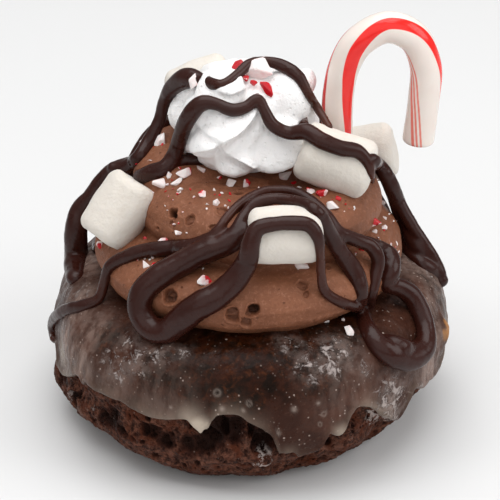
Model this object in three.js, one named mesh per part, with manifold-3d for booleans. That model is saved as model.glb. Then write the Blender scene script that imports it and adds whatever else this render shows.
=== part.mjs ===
// A hot cocoa doughnut: a glazed chocolate cake ring, a two-tier coil of chocolate frosting, a dollop of
// whipped cream, marshmallows, a small candy cane, crushed peppermint and a thick chocolate drizzle.
// Millimetres, +Z up. The ring's axis is Z, it stands on the XY plane, and its front faces -Y.
import * as THREE from 'three';
import { mergeVertices } from 'three/addons/utils/BufferGeometryUtils.js';
import Module from 'manifold-3d';

const wasm = await Module();
wasm.setup();

// Driving dimensions
const GAP = 0.4;
const RING = {
  outerRadius: 43.4, holeRadius: 9, height: 34.5, waist: 16, flatten: 1.2,
  topSquareness: 2.9, baseSquareness: 2.15, glaze: 0.9, hemHeight: 17.5,
  crumbDepth: 1.3, deepestCrumb: -45, lean: 1.0, turns: 46, sides: 20,
};
// Runs of glaze that hang below its hem: direction in degrees, length in mm and half width in degrees
const GLAZE_RUNS = [
  [-105, 4.5, 5], [-79, 7, 7], [-62, 5, 6], [-20, 3, 8], [32, 5, 7], [75, 4, 9], [128, 6, 7], [175, 3, 9],
];
// Where the cake rose unevenly: it swells low on its left and falls away at its front corners
const SWELLS = [
  { direction: 194, z: 9.5, out: 2.6, spread: 21, high: 4 },
  { direction: 222, z: 2, out: -1.6, spread: 24, high: 5 },
  { direction: -42, z: 4, out: -1.8, spread: 34, high: 6 },
];
// The rope of frosting lies in a wide low turn, climbs into a narrower one, and is drawn in to the middle
const COIL = {
  low: { radius: 22.8, height: 39.6, shift: 0 },
  high: { radius: 15.4, height: 51, shift: 2.4 },
  crown: { radius: 15.4, height: 55, shift: -2 },
  end: { radius: 4, height: 52.5, shift: 0 },
  halfWidth: 11.3, halfHeight: 7.5, startDegrees: 60, endTaper: 0.95, sides: 12, rings: 13,
  arcs: [[0, 0.66], [0.6, 1.26], [1.2, 1.86], [1.8, 2.5]],
  middle: [[0, 27.5], [7, 28.2], [12, 31], [20, 34], [20, 46], [14, 55], [8, 58.5], [0, 59]],
  middleSides: 14,
};
const CREAM = {
  centre: new THREE.Vector3(-2.3, 4, 67.2), radius: 16.2, height: 13.8, underside: 10.2,
  lobes: 6, lobeDepth: 0.17, twist: -0.85, squareness: 2.35, baseSquareness: 2.8, turns: 37, rows: 11,
};
// Where the cream was drawn out as the nozzle left it
const PEAKS = [
  [[-9.5, -4, 70.5], [-10.4, -2.4, 75], [-9.2, -0.8, 79.6]],
  [[-5.5, 0, 74], [-4.4, 1.4, 78], [-3.8, 3.0, 81.2]],
];
const PEAK = { base: 6.4, tip: 1.0, sides: 8, rings: 4 };
const MARSHMALLOW = { radius: 6.3, length: 14, corner: 2.5, sides: 12 };
const CANE = { radius: 3.45, planeY: 6.5, sides: 10, rings: 19 };
const STRAND = { sides: 6, step: 22, lift: 0.32, liftOver: 0.46, endLift: -0.1, endSteps: 3, swell: 1.06 };
const PEPPERMINT = { form: new THREE.Vector3(1, 0.8, 0.62), plainBelow: 3 };
const PEPPERMINT_BEHIND = {
  count: 9, innerRadius: 15, outerRadius: 32, smallest: 1.5, largest: 3.3, seed: 11,
};

// What the marshmallows lean on puts each at its own tilt: centre, axis, and share of the usual length
const MARSHMALLOWS = {
  marshmallow_left: { at: [-28.5, -6.5, 51.1], axis: [0.55, 0.36, 0.74], stretch: 1.02 },
  marshmallow_front: { at: [7.4, -26, 54.6], axis: [1, 0.1, -0.02], stretch: 1.1 },
  marshmallow_right: { at: [18.4, -7.6, 63.4], axis: [0.93, -0.05, -0.32], stretch: 1.14 },
  marshmallow_back_right: { at: [26, 17, 53.2], axis: [0.97, -0.12, 0.2], stretch: 1 },
  marshmallow_top: { at: [-10.4, 14, 70.6], axis: [0.93, 0.2, 0.3], stretch: 1.04 },
  marshmallow_back: { at: [7.5, 21.5, 58.2], axis: [0.96, 0.28, 0.05], stretch: 1 },
};

// The cane's centre line: x and z in an upright plane, from the foot in the frosting to the hook's free end
const CANE_LINE = [
  [19.4, 52], [19.3, 63], [19.5, 73], [20.7, 79.4], [23.6, 84.8], [29.6, 88.3],
  [35.4, 86], [38.2, 79.6], [38.1, 71.5], [37.3, 62],
];

// The drizzle is drawn as it looks from a point above and in front, or above and behind. Each point is where
// it shows in a frame of 500 by 500 pixels seen from there, and its thickness in mm. It then drops onto the
// toppings. An end that hangs clear of them has its distance from the eye in ends.
const SIGHT = {
  distance: 500, elevation: 28, target: [0.3, 0, 37.7], pixelsPerMm: 4.5, centre: 250, curvePerMm: 10,
};
const FRONT = 0;
const BACK = 180;
const DRIZZLE = [
  { name: 'top arc', from: FRONT, step: 14, ends: [499, 484], line: [
    [114, 168, 3.0], [124, 167, 3.2], [138, 159, 3.4], [149, 141, 3.0], [159, 121, 2.8], [165, 100, 3.0],
    [174, 86, 3.8], [188, 78, 4.4], [203, 81, 3.0], [221, 85, 2.4], [236, 76, 2.4], [248, 65, 2.4],
    [262, 61, 2.2], [281, 65, 2.8], [298, 76, 2.7], [308, 93, 2.0], [318, 109, 2.0], [329, 127, 1.8]] },
  { name: 'cream front', from: FRONT, step: 14, line: [
    [140, 177, 3.4], [152, 173, 3.8], [166, 167, 3.6], [175, 153, 3.5], [182, 132, 3.5], [190, 115, 3.8],
    [202, 103, 3.4], [216, 104, 2.8], [232, 110, 2.9], [246, 107, 2.7], [258, 99, 2.5], [264, 109, 2.5],
    [273, 125, 2.8], [289, 133, 3.0], [306, 132, 3.6], [322, 141, 3.7], [341, 148, 3.5], [357, 151, 3.2],
    [367, 161, 2.6], [371, 174, 1.8], [371, 182, 1.4]] },
  { name: 'under the cream', from: FRONT, line: [
    [166, 174, 3.2], [184, 163, 3.4], [202, 164, 3.0], [216, 166, 2.4]] },
  { name: 'left drop', from: FRONT, ends: [498, null], line: [
    [129, 163, 3.0], [113, 169, 3.0], [101, 181, 3.2], [90, 197, 3.6], [81, 208, 4.0], [77, 221, 4.6],
    [77, 238, 5.0], [77, 254, 4.8], [75, 268, 4.2], [73, 281, 3.4]] },
  { name: 'left trail', from: FRONT, line: [
    [212, 240, 3.6], [196, 246, 3.6], [173, 248, 3.4], [150, 250, 3.2], [128, 256, 3.0], [110, 266, 2.6],
    [105, 280, 2.2], [98, 299, 2.2], [82, 306, 2.4], [64, 311, 2.4], [54, 321, 2.4], [54, 338, 1.6]] },
  { name: 'big loop', from: FRONT, line: [
    [244, 232, 4.4], [227, 243, 4.8], [204, 252, 5.2], [181, 264, 5.4], [157, 278, 5.4], [142, 294, 5.4],
    [140, 312, 5.2], [151, 328, 5.2], [165, 331, 5.4], [180, 321, 5.8], [197, 307, 5.8], [217, 296, 5.4],
    [236, 279, 5.0], [247, 261, 4.4], [251, 243, 3.8], [257, 229, 3.4], [275, 224, 3.0], [295, 223, 3.0],
    [309, 225, 3.0], [318, 237, 2.6], [320, 252, 2.0], [321, 273, 2.0], [325, 291, 2.3], [343, 303, 2.3],
    [360, 307, 2.6], [369, 308, 2.6]] },
  { name: 'outer arch', from: FRONT, line: [
    [205, 243, 2.6], [218, 230, 2.2], [229, 215, 2.0], [242, 203, 2.2], [259, 193, 2.2], [277, 190, 2.2],
    [297, 193, 2.4], [315, 204, 2.6], [327, 217, 2.8], [338, 232, 3.0], [354, 239, 3.0], [370, 246, 3.0],
    [378, 259, 3.0], [376, 274, 2.8], [372, 291, 2.6], [368, 307, 2.6]] },
  { name: 'inner arch', from: FRONT, line: [
    [222, 243, 3.0], [236, 231, 3.0], [245, 216, 2.8], [255, 204, 2.8], [271, 199, 2.6], [290, 200, 2.4],
    [308, 205, 2.6], [321, 217, 3.0], [330, 235, 3.4], [342, 254, 3.8], [353, 270, 4.0], [360, 287, 3.6],
    [361, 302, 2.8]] },
  { name: 'right loop', from: FRONT, line: [
    [366, 243, 3.0], [380, 249, 3.6], [390, 258, 4.2], [390, 271, 4.4], [387, 283, 4.0], [399, 287, 4.0],
    [411, 295, 4.2], [420, 311, 4.2], [426, 331, 4.2], [424, 349, 4.8], [411, 358, 5.4], [394, 355, 5.4],
    [378, 345, 4.6], [368, 330, 3.8], [363, 315, 3.4]] },
  { name: 'right inner fall', from: FRONT, line: [
    [372, 160, 3.0], [383, 170, 3.4], [391, 185, 3.6], [397, 202, 3.6], [402, 220, 3.4], [406, 238, 3.0],
    [409, 252, 3.0], [420, 263, 3.2], [433, 272, 3.4], [441, 280, 3.4]] },
  { name: 'right outer fall', from: FRONT, ends: [505, 508], line: [
    [390, 182, 2.8], [397, 198, 2.8], [406, 215, 2.8], [415, 230, 2.8], [425, 245, 2.8], [434, 260, 2.8],
    [440, 274, 3.0]] },
  { name: 'back crown', from: BACK, line: [
    [174, 199, 3.2], [188, 180, 3.2], [204, 158, 3.2], [224, 142, 3.2], [246, 138, 3.2], [262, 152, 3.2],
    [266, 176, 3.4], [282, 196, 3.6], [310, 200, 3.6], [338, 196, 3.4], [362, 208, 3.4], [382, 234, 3.6],
    [399, 264, 3.4], [408, 290, 2.8]] },
  { name: 'back zigzag', from: BACK, line: [
    [108, 276, 3.4], [140, 250, 3.4], [180, 224, 3.6], [222, 200, 3.4], [262, 186, 3.2], [298, 196, 3.4],
    [310, 222, 3.8], [288, 250, 4.2], [252, 276, 4.4], [222, 300, 4.4], [226, 330, 4.8], [252, 338, 4.6],
    [286, 312, 4.4], [326, 280, 4.0], [366, 262, 3.8], [394, 284, 3.8], [392, 318, 4.0], [366, 338, 3.6]] },
  { name: 'back drip', from: BACK, line: [
    [140, 250, 3.2], [126, 280, 3.6], [134, 312, 4.0], [158, 330, 4.2], [176, 316, 3.6], [176, 284, 3.2],
    [190, 262, 3.0]] },
];

// The larger peppermint that shows from the front: frame pixel across and down, and size in mm
const PEPPERMINT_FRONT = [
  [160, 182, 3.4], [184, 173, 3.4], [200, 169, 2.6], [211, 164, 2.6], [230, 185, 3.3], [286, 179, 3.8],
  [322, 194, 2.4], [333, 206, 2.6], [374, 222, 3.6], [392, 213, 3.8], [395, 238, 2.6], [305, 266, 2.8],
  [151, 266, 3.4], [168, 241, 3.6], [208, 281, 3.8], [160, 142, 3.4],
];
const PEPPERMINT_ON_CREAM = [[196, 83, 2.8], [239, 69, 2.8], [259, 70, 5.4], [244, 78, 2.0], [268, 90, 3.6]];

const { clamp, degToRad: radians, lerp, radToDeg: degrees, smoothstep: smooth } = THREE.MathUtils;

function signedPower(value, power) {
  return Math.sign(value) * Math.abs(value) ** power;
}

// A short repeatable sequence of numbers from 0 to 1
function sequence(seed) {
  let state = seed;
  return () => {
    state = (state * 1664525 + 1013904223) % 4294967296;
    return state / 4294967296;
  };
}

// Moves each vertex to the place that a function gives for its texture coordinates and its old place
function reshape(geometry, place) {
  const position = geometry.attributes.position;
  const uv = geometry.attributes.uv;
  const old = new THREE.Vector3();
  for (let i = 0; i < position.count; i += 1) {
    old.fromBufferAttribute(position, i);
    const moved = place(uv.getX(i), uv.getY(i), old);
    position.setXYZ(i, moved.x, moved.y, moved.z);
  }
  return geometry;
}

// A closed geometry as a solid that can be joined and cut
function solid(geometry) {
  const bare = geometry.clone();
  bare.deleteAttribute('normal');
  bare.deleteAttribute('uv');
  const merged = mergeVertices(bare, 1e-4);
  const corners = merged.index.array;
  const kept = [];
  for (let i = 0; i < corners.length; i += 3) {
    const [a, b, c] = [corners[i], corners[i + 1], corners[i + 2]];
    if (a !== b && b !== c && c !== a) kept.push(a, b, c);
  }
  return new wasm.Manifold(new wasm.Mesh({
    numProp: 3,
    vertProperties: merged.attributes.position.array,
    triVerts: Uint32Array.from(kept),
  }));
}

function geometryOf(body) {
  const mesh = body.getMesh();
  const geometry = new THREE.BufferGeometry();
  geometry.setAttribute('position', new THREE.BufferAttribute(mesh.vertProperties, 3));
  geometry.setIndex(new THREE.BufferAttribute(mesh.triVerts, 1));
  geometry.computeVertexNormals();
  return geometry;
}

function largestPiece(body) {
  return body.decompose().reduce((best, piece) => (piece.volume() > best.volume() ? piece : best));
}

function union(bodies) {
  return wasm.Manifold.union(bodies);
}

// The angle in degrees from a direction to a turn in radians, the short way round
function turnBetween(turn, direction) {
  const away = turn - radians(direction);
  return degrees(Math.atan2(Math.sin(away), Math.cos(away)));
}

// The cake ring: glaze down to a wavy hem, a band of torn crumb that is set back under it, and a rounded foot
function hemHeight(turn) {
  let height = RING.hemHeight + 1.1 * Math.sin(2 * turn + 0.4) + 0.8 * Math.sin(5 * turn + 1.7);
  for (const [direction, length, halfWidth] of GLAZE_RUNS) {
    height -= length * Math.exp(-((turnBetween(turn, direction) / halfWidth) ** 2));
  }
  return height;
}

// How far the outer wall stands out from a plain ring at a turn and height
function wallRelief(turn, z) {
  const below = hemHeight(turn) - z;
  const lump = 0.45 * Math.sin(3 * turn + 0.6) + 0.3 * Math.sin(5 * turn - 1.1 + z / 9);
  const ripple = 0.25 * Math.sin(9 * turn + z / 4);
  const recess = RING.crumbDepth * (1 + 0.75 * Math.cos(turn - radians(RING.deepestCrumb)));
  const crumb = smooth(below, 0, 2.2) * (1 - 0.9 * smooth(below, 4, 11));
  const crag = 0.5 * Math.sin(9 * turn + z / 2.1) * Math.sin(6 * turn - z / 1.5) * smooth(below, 0, 3);
  return lump + ripple + crag - recess * crumb + RING.glaze * (1 - smooth(below, -1, 1));
}

function ringPoint(turn, around, grow) {
  const across = Math.cos(around);
  const up = Math.sin(around);
  const squareness = up > 0 ? RING.topSquareness : RING.baseSquareness;
  const halfWidth = (RING.outerRadius - RING.holeRadius) / 2;
  const halfHeight = up > 0 ? RING.height - RING.waist : RING.waist + RING.flatten;
  let radius = RING.holeRadius + halfWidth + halfWidth * signedPower(across, 2 / squareness);
  let z = RING.waist + halfHeight * signedPower(up, 2 / squareness);
  const outer = smooth(across, -0.1, 0.5);
  for (const swell of SWELLS) {
    const nearness = turnBetween(turn, swell.direction) / swell.spread;
    radius += outer * swell.out * Math.exp(-(nearness ** 2) - ((z - swell.z) / swell.high) ** 2);
  }
  radius += outer * wallRelief(turn, z);
  z += 0.5 * Math.sin(4 * turn + 1) * Math.max(0, up);
  const lean = RING.lean * outer * smooth(RING.waist - z, 0, RING.waist);
  return new THREE.Vector3(
    (radius + grow * across) * Math.cos(turn) - lean,
    (radius + grow * across) * Math.sin(turn),
    grow > 0 ? z + grow * up : Math.max(0, z),
  );
}

function ring(grow) {
  const geometry = new THREE.TorusGeometry(2, 1, RING.sides, RING.turns);
  return solid(reshape(geometry, (u, v) => ringPoint(2 * Math.PI * u, 2 * Math.PI * v, grow)));
}

// A closed tube with round ends along a curve. Its section is round, or as wide and high as section says
function tube(points, thickness, sides, rings, { section, capRows = 2 } = {}) {
  const curve = new THREE.CatmullRomCurve3(points, false, 'centripetal');
  const frames = curve.computeFrenetFrames(rings);
  const halfLength = 0.5;
  const geometry = new THREE.CapsuleGeometry(1, 2 * halfLength, capRows, sides, rings);
  return solid(reshape(geometry, (u, v, old) => {
    const along = clamp(old.y + halfLength, 0, 1);
    const ringIndex = Math.round(along * rings);
    const overhang = old.y - clamp(old.y, -halfLength, halfLength);
    const radius = thickness(along) / 2;
    const centre = curve.getPointAt(along);
    const tangent = frames.tangents[ringIndex];
    const level = new THREE.Vector3(-tangent.y, tangent.x, 0).normalize();
    const side = section ? level : frames.normals[ringIndex];
    const up = section ? new THREE.Vector3(0, 0, 1) : frames.binormals[ringIndex];
    const [wide, high] = section ?? [1, 1];
    return centre
      .addScaledVector(side, old.z * radius * wide)
      .addScaledVector(up, old.x * radius * high)
      .addScaledVector(tangent, overhang * radius * wide);
  }));
}

// The centre of the frosting's rope after a number of turns
function coilCentre(turns) {
  const climb = smooth(turns, 0.92, 1.45);
  const crown = smooth(turns, 1.8, 2.25);
  const close = smooth(turns, 2.2, 2.5);
  const mixed = (key) => {
    const climbing = lerp(COIL.low[key], COIL.high[key], climb);
    return lerp(lerp(climbing, COIL.crown[key], crown), COIL.end[key], close);
  };
  const angle = radians(COIL.startDegrees) + 2 * Math.PI * turns;
  const outward = new THREE.Vector3(Math.cos(angle), Math.sin(angle), 0);
  return new THREE.Vector3(mixed('shift'), 0, mixed('height')).addScaledVector(outward, mixed('radius'));
}

// The rope is swept in arcs that run into each other, round a solid middle that stands in the cake's hole
function coil() {
  const pointsPerArc = 16;
  const pieces = COIL.arcs.map(([from, to]) => {
    const points = [];
    for (let i = 0; i <= pointsPerArc; i += 1) points.push(coilCentre(lerp(from, to, i / pointsPerArc)));
    const thickness = (along) => 2 * Math.min(1, COIL.endTaper + 0.6 * Math.min(along, 1 - along));
    return tube(points, thickness, COIL.sides, COIL.rings, { section: [COIL.halfWidth, COIL.halfHeight] });
  });
  const profile = COIL.middle.map(([radius, z]) => new THREE.Vector2(radius, z));
  const middle = new THREE.LatheGeometry(profile, COIL.middleSides);
  middle.rotateX(Math.PI / 2);
  return union([...pieces, solid(middle)]);
}

// The whipped cream: broad lobes that overlap each other and turn towards the top, with two drawn-out peaks
function creamPoint(turn, down, grow) {
  const level = Math.cos(down);
  const spread = Math.sin(down);
  const phase = CREAM.lobes * (turn + CREAM.twist * level);
  const bulge = Math.abs(Math.sin(phase / 2 + 0.3 * Math.cos(phase))) ** 0.75;
  const uneven = 1 + 0.04 * Math.sin(2 * turn + 1) + 0.03 * Math.sin(3 * turn + 2.2);
  const shape = spread ** (2 / (level > 0 ? CREAM.squareness : CREAM.baseSquareness));
  const fold = 1 - CREAM.lobeDepth * (1 - bulge) * (0.35 + 0.65 * spread);
  const radius = CREAM.radius * shape * fold * uneven;
  const height = (level > 0 ? CREAM.height : CREAM.underside) * signedPower(level, 2 / CREAM.squareness);
  return new THREE.Vector3(
    (radius + grow * spread) * Math.cos(turn),
    (radius + grow * spread) * Math.sin(turn),
    height * (1 - 0.14 * (1 - bulge) * spread) + grow * level,
  ).add(CREAM.centre);
}

function cream(grow) {
  const geometry = new THREE.SphereGeometry(1, CREAM.turns, CREAM.rows);
  const dome = solid(reshape(geometry, (u, v) => creamPoint(2 * Math.PI * u, Math.PI * (1 - v), grow)));
  const peaks = PEAKS.map((peak) => {
    const points = peak.map((point) => new THREE.Vector3(...point));
    return tube(points, (along) => lerp(PEAK.base, PEAK.tip, along) + 2 * grow, PEAK.sides, PEAK.rings);
  });
  return union([dome, ...peaks]);
}

// A short cylinder with rounded edges
function marshmallow({ at, axis, stretch }, grow) {
  const radius = MARSHMALLOW.radius + grow;
  const half = (MARSHMALLOW.length * stretch) / 2 + grow;
  const corner = MARSHMALLOW.corner + grow;
  const profile = [new THREE.Vector2(0, -half)];
  for (const end of [-1, 1]) {
    for (let i = 0; i <= 2; i += 1) {
      const angle = end < 0 ? radians(45 * i - 90) : radians(45 * i);
      const x = radius - corner + corner * Math.cos(angle);
      profile.push(new THREE.Vector2(x, end * (half - corner) + corner * Math.sin(angle)));
    }
  }
  profile.push(new THREE.Vector2(0, half));
  const geometry = new THREE.LatheGeometry(profile, MARSHMALLOW.sides);
  const upright = new THREE.Vector3(0, 1, 0);
  const tilt = new THREE.Quaternion().setFromUnitVectors(upright, new THREE.Vector3(...axis).normalize());
  return solid(geometry.applyQuaternion(tilt).translate(...at));
}

function candyCane(grow) {
  const points = CANE_LINE.map(([x, z]) => new THREE.Vector3(x, CANE.planeY, z));
  return tube(points, () => 2 * (CANE.radius + grow), CANE.sides, CANE.rings);
}

// The line of sight through a pixel of the frame in which the drizzle and the peppermint are drawn
function sightLine(azimuth, x, y) {
  const [a, e] = [radians(azimuth), radians(SIGHT.elevation)];
  const back = new THREE.Vector3(Math.sin(a) * Math.cos(e), -Math.cos(a) * Math.cos(e), Math.sin(e));
  const right = new THREE.Vector3(Math.cos(a), Math.sin(a), 0);
  const up = new THREE.Vector3().crossVectors(back, right);
  const target = new THREE.Vector3(...SIGHT.target);
  const eye = target.clone().addScaledVector(back, SIGHT.distance);
  const through = target
    .addScaledVector(right, (x - SIGHT.centre) / SIGHT.pixelsPerMm)
    .addScaledVector(up, (SIGHT.centre - y) / SIGHT.pixelsPerMm);
  return new THREE.Ray(eye, through.sub(eye).normalize());
}

function firstHit(meshes, ray) {
  const found = new THREE.Raycaster(ray.origin, ray.direction).intersectObjects(meshes, false);
  return found.length ? found[0] : null;
}

// Fills the gaps in a row of distances by drawing straight lines between the known ones
function bridged(distances) {
  const known = distances.flatMap((distance, i) => (distance === null ? [] : [i]));
  return distances.map((distance, i) => {
    if (distance !== null) return distance;
    const before = known.findLast((k) => k < i) ?? known[0];
    const after = known.find((k) => k > i) ?? known.at(-1);
    const share = after > before ? clamp((i - before) / (after - before), 0, 1) : 0;
    return lerp(distances[before], distances[after], share);
  });
}

// Where a strand spans a gap it stays taut, as thick chocolate does: it dips no further than beside the gap
function drawnTaut(resting) {
  const tautPasses = 2;
  const softPasses = 2;
  let taut = resting;
  for (let pass = 0; pass < tautPasses + softPasses; pass += 1) {
    taut = taut.map((distance, i, all) => {
      const beside = ((all[i - 1] ?? distance) + (all[i + 1] ?? distance)) / 2;
      return pass < tautPasses ? Math.min(resting[i], beside) : (distance + beside) / 2;
    });
  }
  return taut;
}

// Drops one line of drizzle onto the toppings, with its ends sunk into them
function drizzleStrand({ from, step, ends, line }) {
  const scale = SIGHT.curvePerMm;
  const corners = line.map(([x, y, thick]) => new THREE.Vector3(x, y, scale * thick));
  const drawn = new THREE.CatmullRomCurve3(corners, false, 'centripetal');
  const steps = Math.max(4, Math.round(drawn.getLength() / (step ?? STRAND.step)));
  const samples = drawn.getPoints(steps);
  const rays = samples.map((sample) => sightLine(from, sample.x, sample.y));
  const hits = rays.map((ray) => firstHit(underDrizzle, ray));
  const hanging = (i) => (i === 0 && ends?.[0]) || (i === steps && ends?.[1]) || null;
  const resting = bridged(hits.map((hit, i) => hit?.distance ?? hanging(i)));
  const taut = drawnTaut(resting);
  const points = rays.map((ray, i) => {
    const inward = smooth(Math.min(i, steps - i), 0, STRAND.endSteps);
    const fused = hits[i] === null || hits[i].object === coilMesh || hits[i].object === ringMesh;
    const lift = lerp(STRAND.endLift, fused ? STRAND.lift : STRAND.liftOver, inward);
    const distance = lerp(resting[i], taut[i], inward);
    return ray.at(distance - lift * (samples[i].z / scale), new THREE.Vector3());
  });
  const thickness = (along) => STRAND.swell * (drawn.getPoint(along).z / scale);
  return tube(points, thickness, STRAND.sides, steps, { capRows: 1 });
}

// A shard of peppermint: a few flat faces at uneven distances, lying at its own tilt
function peppermint({ at, size, seed }, grow) {
  const random = sequence(seed);
  const Shape = size < PEPPERMINT.plainBelow ? THREE.OctahedronGeometry : THREE.IcosahedronGeometry;
  const geometry = new Shape(size / 2, 0);
  geometry.deleteAttribute('normal');
  geometry.deleteAttribute('uv');
  const shard = mergeVertices(geometry, 1e-4);
  const position = shard.attributes.position;
  const corner = new THREE.Vector3();
  for (let i = 0; i < position.count; i += 1) {
    corner.fromBufferAttribute(position, i).multiplyScalar(0.72 + 0.5 * random()).multiply(PEPPERMINT.form);
    corner.setLength(corner.length() + grow);
    position.setXYZ(i, corner.x, corner.y, corner.z);
  }
  shard.rotateX(1.2 * (random() - 0.5)).rotateZ(2 * Math.PI * random()).rotateX(1.4 * (random() - 0.5));
  return solid(shard.translate(at.x, at.y, at.z));
}

// The shards that lie where a line of sight or a plumb line meets a topping
function shardsInView(list, meshes, topping, firstSeed) {
  return list.flatMap(([x, y, size], i) => {
    const hit = firstHit(meshes, sightLine(FRONT, x, y));
    return hit?.object === topping ? [{ at: hit.point, size, seed: firstSeed + i }] : [];
  });
}

function shardsBehind(firstSeed) {
  const { count, innerRadius, outerRadius, smallest, largest, seed } = PEPPERMINT_BEHIND;
  const random = sequence(seed);
  const found = [];
  for (let i = 0; i < count; i += 1) {
    const turn = Math.PI * lerp(-0.05, 1.05, random());
    const radius = lerp(innerRadius, outerRadius, random());
    const size = lerp(smallest, largest, random() ** 2);
    const above = new THREE.Vector3(radius * Math.cos(turn), radius * Math.sin(turn), 2 * COIL.crown.height);
    const hit = firstHit(underDrizzle, new THREE.Ray(above, new THREE.Vector3(0, 0, -1)));
    if (hit?.object === coilMesh) found.push({ at: hit.point, size, seed: firstSeed + i });
  }
  return found;
}

function shards(list, grow) {
  return list.map((shard) => peppermint(shard, grow));
}

function namedMesh(name, body, color, roughness) {
  const material = new THREE.MeshStandardMaterial({ color, roughness, metalness: 0 });
  const made = new THREE.Mesh(geometryOf(body), material);
  made.name = name;
  return made;
}

// The bare toppings, before anything is fused to them
const bareRing = ring(0);
const bareCoil = coil();
const bareCream = cream(0);
const marshmallows = Object.entries(MARSHMALLOWS)
  .map(([name, spec]) => ({ name, body: marshmallow(spec, 0) }));

const everySide = new THREE.MeshBasicMaterial({ side: THREE.DoubleSide });
const underDrizzle = [bareRing, bareCoil, bareCream, ...marshmallows.map(({ body }) => body)]
  .map((body) => new THREE.Mesh(geometryOf(body), everySide));
const [ringMesh, coilMesh, creamMesh] = underDrizzle;

const strands = DRIZZLE.map(drizzleStrand);
const shardsOnCream = shardsInView(PEPPERMINT_ON_CREAM, [creamMesh], creamMesh, 200);
const shardsOnFrosting = [
  ...shardsInView(PEPPERMINT_FRONT, underDrizzle, coilMesh, 100), ...shardsBehind(300),
];

// The finished solids, each a little clear of its neighbours
const seats = union([...Object.values(MARSHMALLOWS).map((spec) => marshmallow(spec, GAP)), candyCane(GAP)]);
const creamSolid = largestPiece(union([bareCream, ...shards(shardsOnCream, 0)]).subtract(seats));
const frosting = largestPiece(
  union([bareCoil, ...strands, ...shards(shardsOnFrosting, 0)])
    .subtract(seats).subtract(ring(GAP)).subtract(cream(GAP)).subtract(union(shards(shardsOnCream, GAP))),
);

const doughnut = new THREE.Group();
doughnut.add(namedMesh('cake_ring', bareRing, '#3f2219', 0.4));
doughnut.add(namedMesh('frosting', frosting, '#8a5a44', 0.6));
doughnut.add(namedMesh('whipped_cream', creamSolid, '#f2eeec', 0.6));
for (const { name, body } of marshmallows) doughnut.add(namedMesh(name, body, '#f4f0e8', 0.7));
doughnut.add(namedMesh('candy_cane', candyCane(0), '#f0e6df', 0.25));

export default doughnut;
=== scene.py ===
# A hot cocoa doughnut on a plain pale floor: a glazed chocolate cake ring under a coil of chocolate frosting,
# whipped cream, marshmallows, a candy cane, crushed peppermint and thick chocolate drizzle. Every piece
# stands for the CAD node of the same form. Shapes are worked out in millimetres and become metres in
# new_piece.
import math

import bmesh
import bpy
import numpy as np
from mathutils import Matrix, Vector
from mathutils.bvhtree import BVHTree
from mathutils.kdtree import KDTree


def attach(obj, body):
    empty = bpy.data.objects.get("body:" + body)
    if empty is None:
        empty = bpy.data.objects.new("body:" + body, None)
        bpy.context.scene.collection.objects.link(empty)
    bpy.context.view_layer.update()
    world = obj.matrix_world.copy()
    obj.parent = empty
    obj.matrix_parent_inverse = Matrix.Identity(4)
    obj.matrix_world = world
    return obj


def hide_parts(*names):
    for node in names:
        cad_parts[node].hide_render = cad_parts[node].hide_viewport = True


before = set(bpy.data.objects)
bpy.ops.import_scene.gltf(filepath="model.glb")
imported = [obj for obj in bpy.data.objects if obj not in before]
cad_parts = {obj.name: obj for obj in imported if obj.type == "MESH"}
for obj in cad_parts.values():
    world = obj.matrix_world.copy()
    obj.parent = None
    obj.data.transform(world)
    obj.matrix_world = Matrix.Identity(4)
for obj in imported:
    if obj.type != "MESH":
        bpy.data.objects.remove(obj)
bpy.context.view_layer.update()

MM = 0.001

# The frame in which drizzle, peppermint and small features are placed: pixels of a 500 by 500 picture taken
# from above and in front, or above and behind. Each lands on what the line of sight through its pixel meets
# first.
SIGHT = dict(distance=500, elevation=28, target=(0.3, 0, 37.7), pixels_per_mm=4.5, centre=250)
FRONT = 0
BACK = 180

# The cake ring, as in the CAD model
RING = dict(outer=43.4, hole=9, height=34.5, waist=16, flatten=1.2, top_squareness=2.9, base_squareness=2.15,
            glaze=0.9, hem=17.5, crumb_depth=1.3, deepest_crumb=-45, lean=1.0)
GLAZE_RUNS = [
    (-105, 4.5, 5), (-79, 7, 7), (-62, 5, 6), (-20, 3, 8), (32, 5, 7), (75, 4, 9), (128, 6, 7), (175, 3, 9),
]
SWELLS = [
    dict(direction=194, z=9.5, out=2.6, spread=21, high=4),
    dict(direction=222, z=2, out=-1.6, spread=24, high=5),
    dict(direction=-42, z=4, out=-1.8, spread=34, high=6),
]
# How often the hem is fitted, because the ring that it is seen on changes with it
HEM_FITTINGS = 3
# Points of the ring: how many round it, and its rows in the crumb, at the glaze's lip by height over the hem,
# in the glaze and on the inner side
RING_TURNS = 860
CRUMB_ROWS = 72
LIP_HEIGHTS = (0, 0.1, 0.25, 0.45, 0.7)
GLAZE_ROWS = 74
INNER_ROWS = 14
# Waves in the glaze: size and height in mm, and seed
GLAZE_WAVES = [(5.5, 0.3, 41), (2.2, 0.16, 42), (1.1, 0.07, 43)]

# The coil of frosting: radius, height and sideways shift of its centre line
COIL_LOW = (22.8, 39.6, 0)
COIL_HIGH = (15.4, 51, 2.4)
COIL_CROWN = (15.4, 55, -2)
COIL_END = (4, 52.5, 0)
COIL_HALF_WIDTH = 11.3
COIL_HALF_HEIGHT = 7.5
COIL_START = 60
COIL_TURNS = 2.5
# Between which turns the rope climbs, becomes the crown, closes in on the middle and narrows
COIL_CLIMBS = (0.92, 1.45)
COIL_CROWNS = (1.8, 2.25)
COIL_CLOSES = (2.2, 2.5)
ROPE_NARROWS = (2.25, 2.5)
# The rope is made of stretches of less than a turn that overlap
ROPE_STRETCHES = [(0, 0.66), (0.6, 1.26), (1.2, 1.86), (1.8, 2.5)]
ROPE_CORNERS = 72
# Radius and height of what fills the middle of the coil
COIL_MIDDLE = [(0, 27.5), (7, 28.2), (12, 31), (20, 34), (20, 46), (14, 55), (8, 58.5), (0, 59)]

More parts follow.
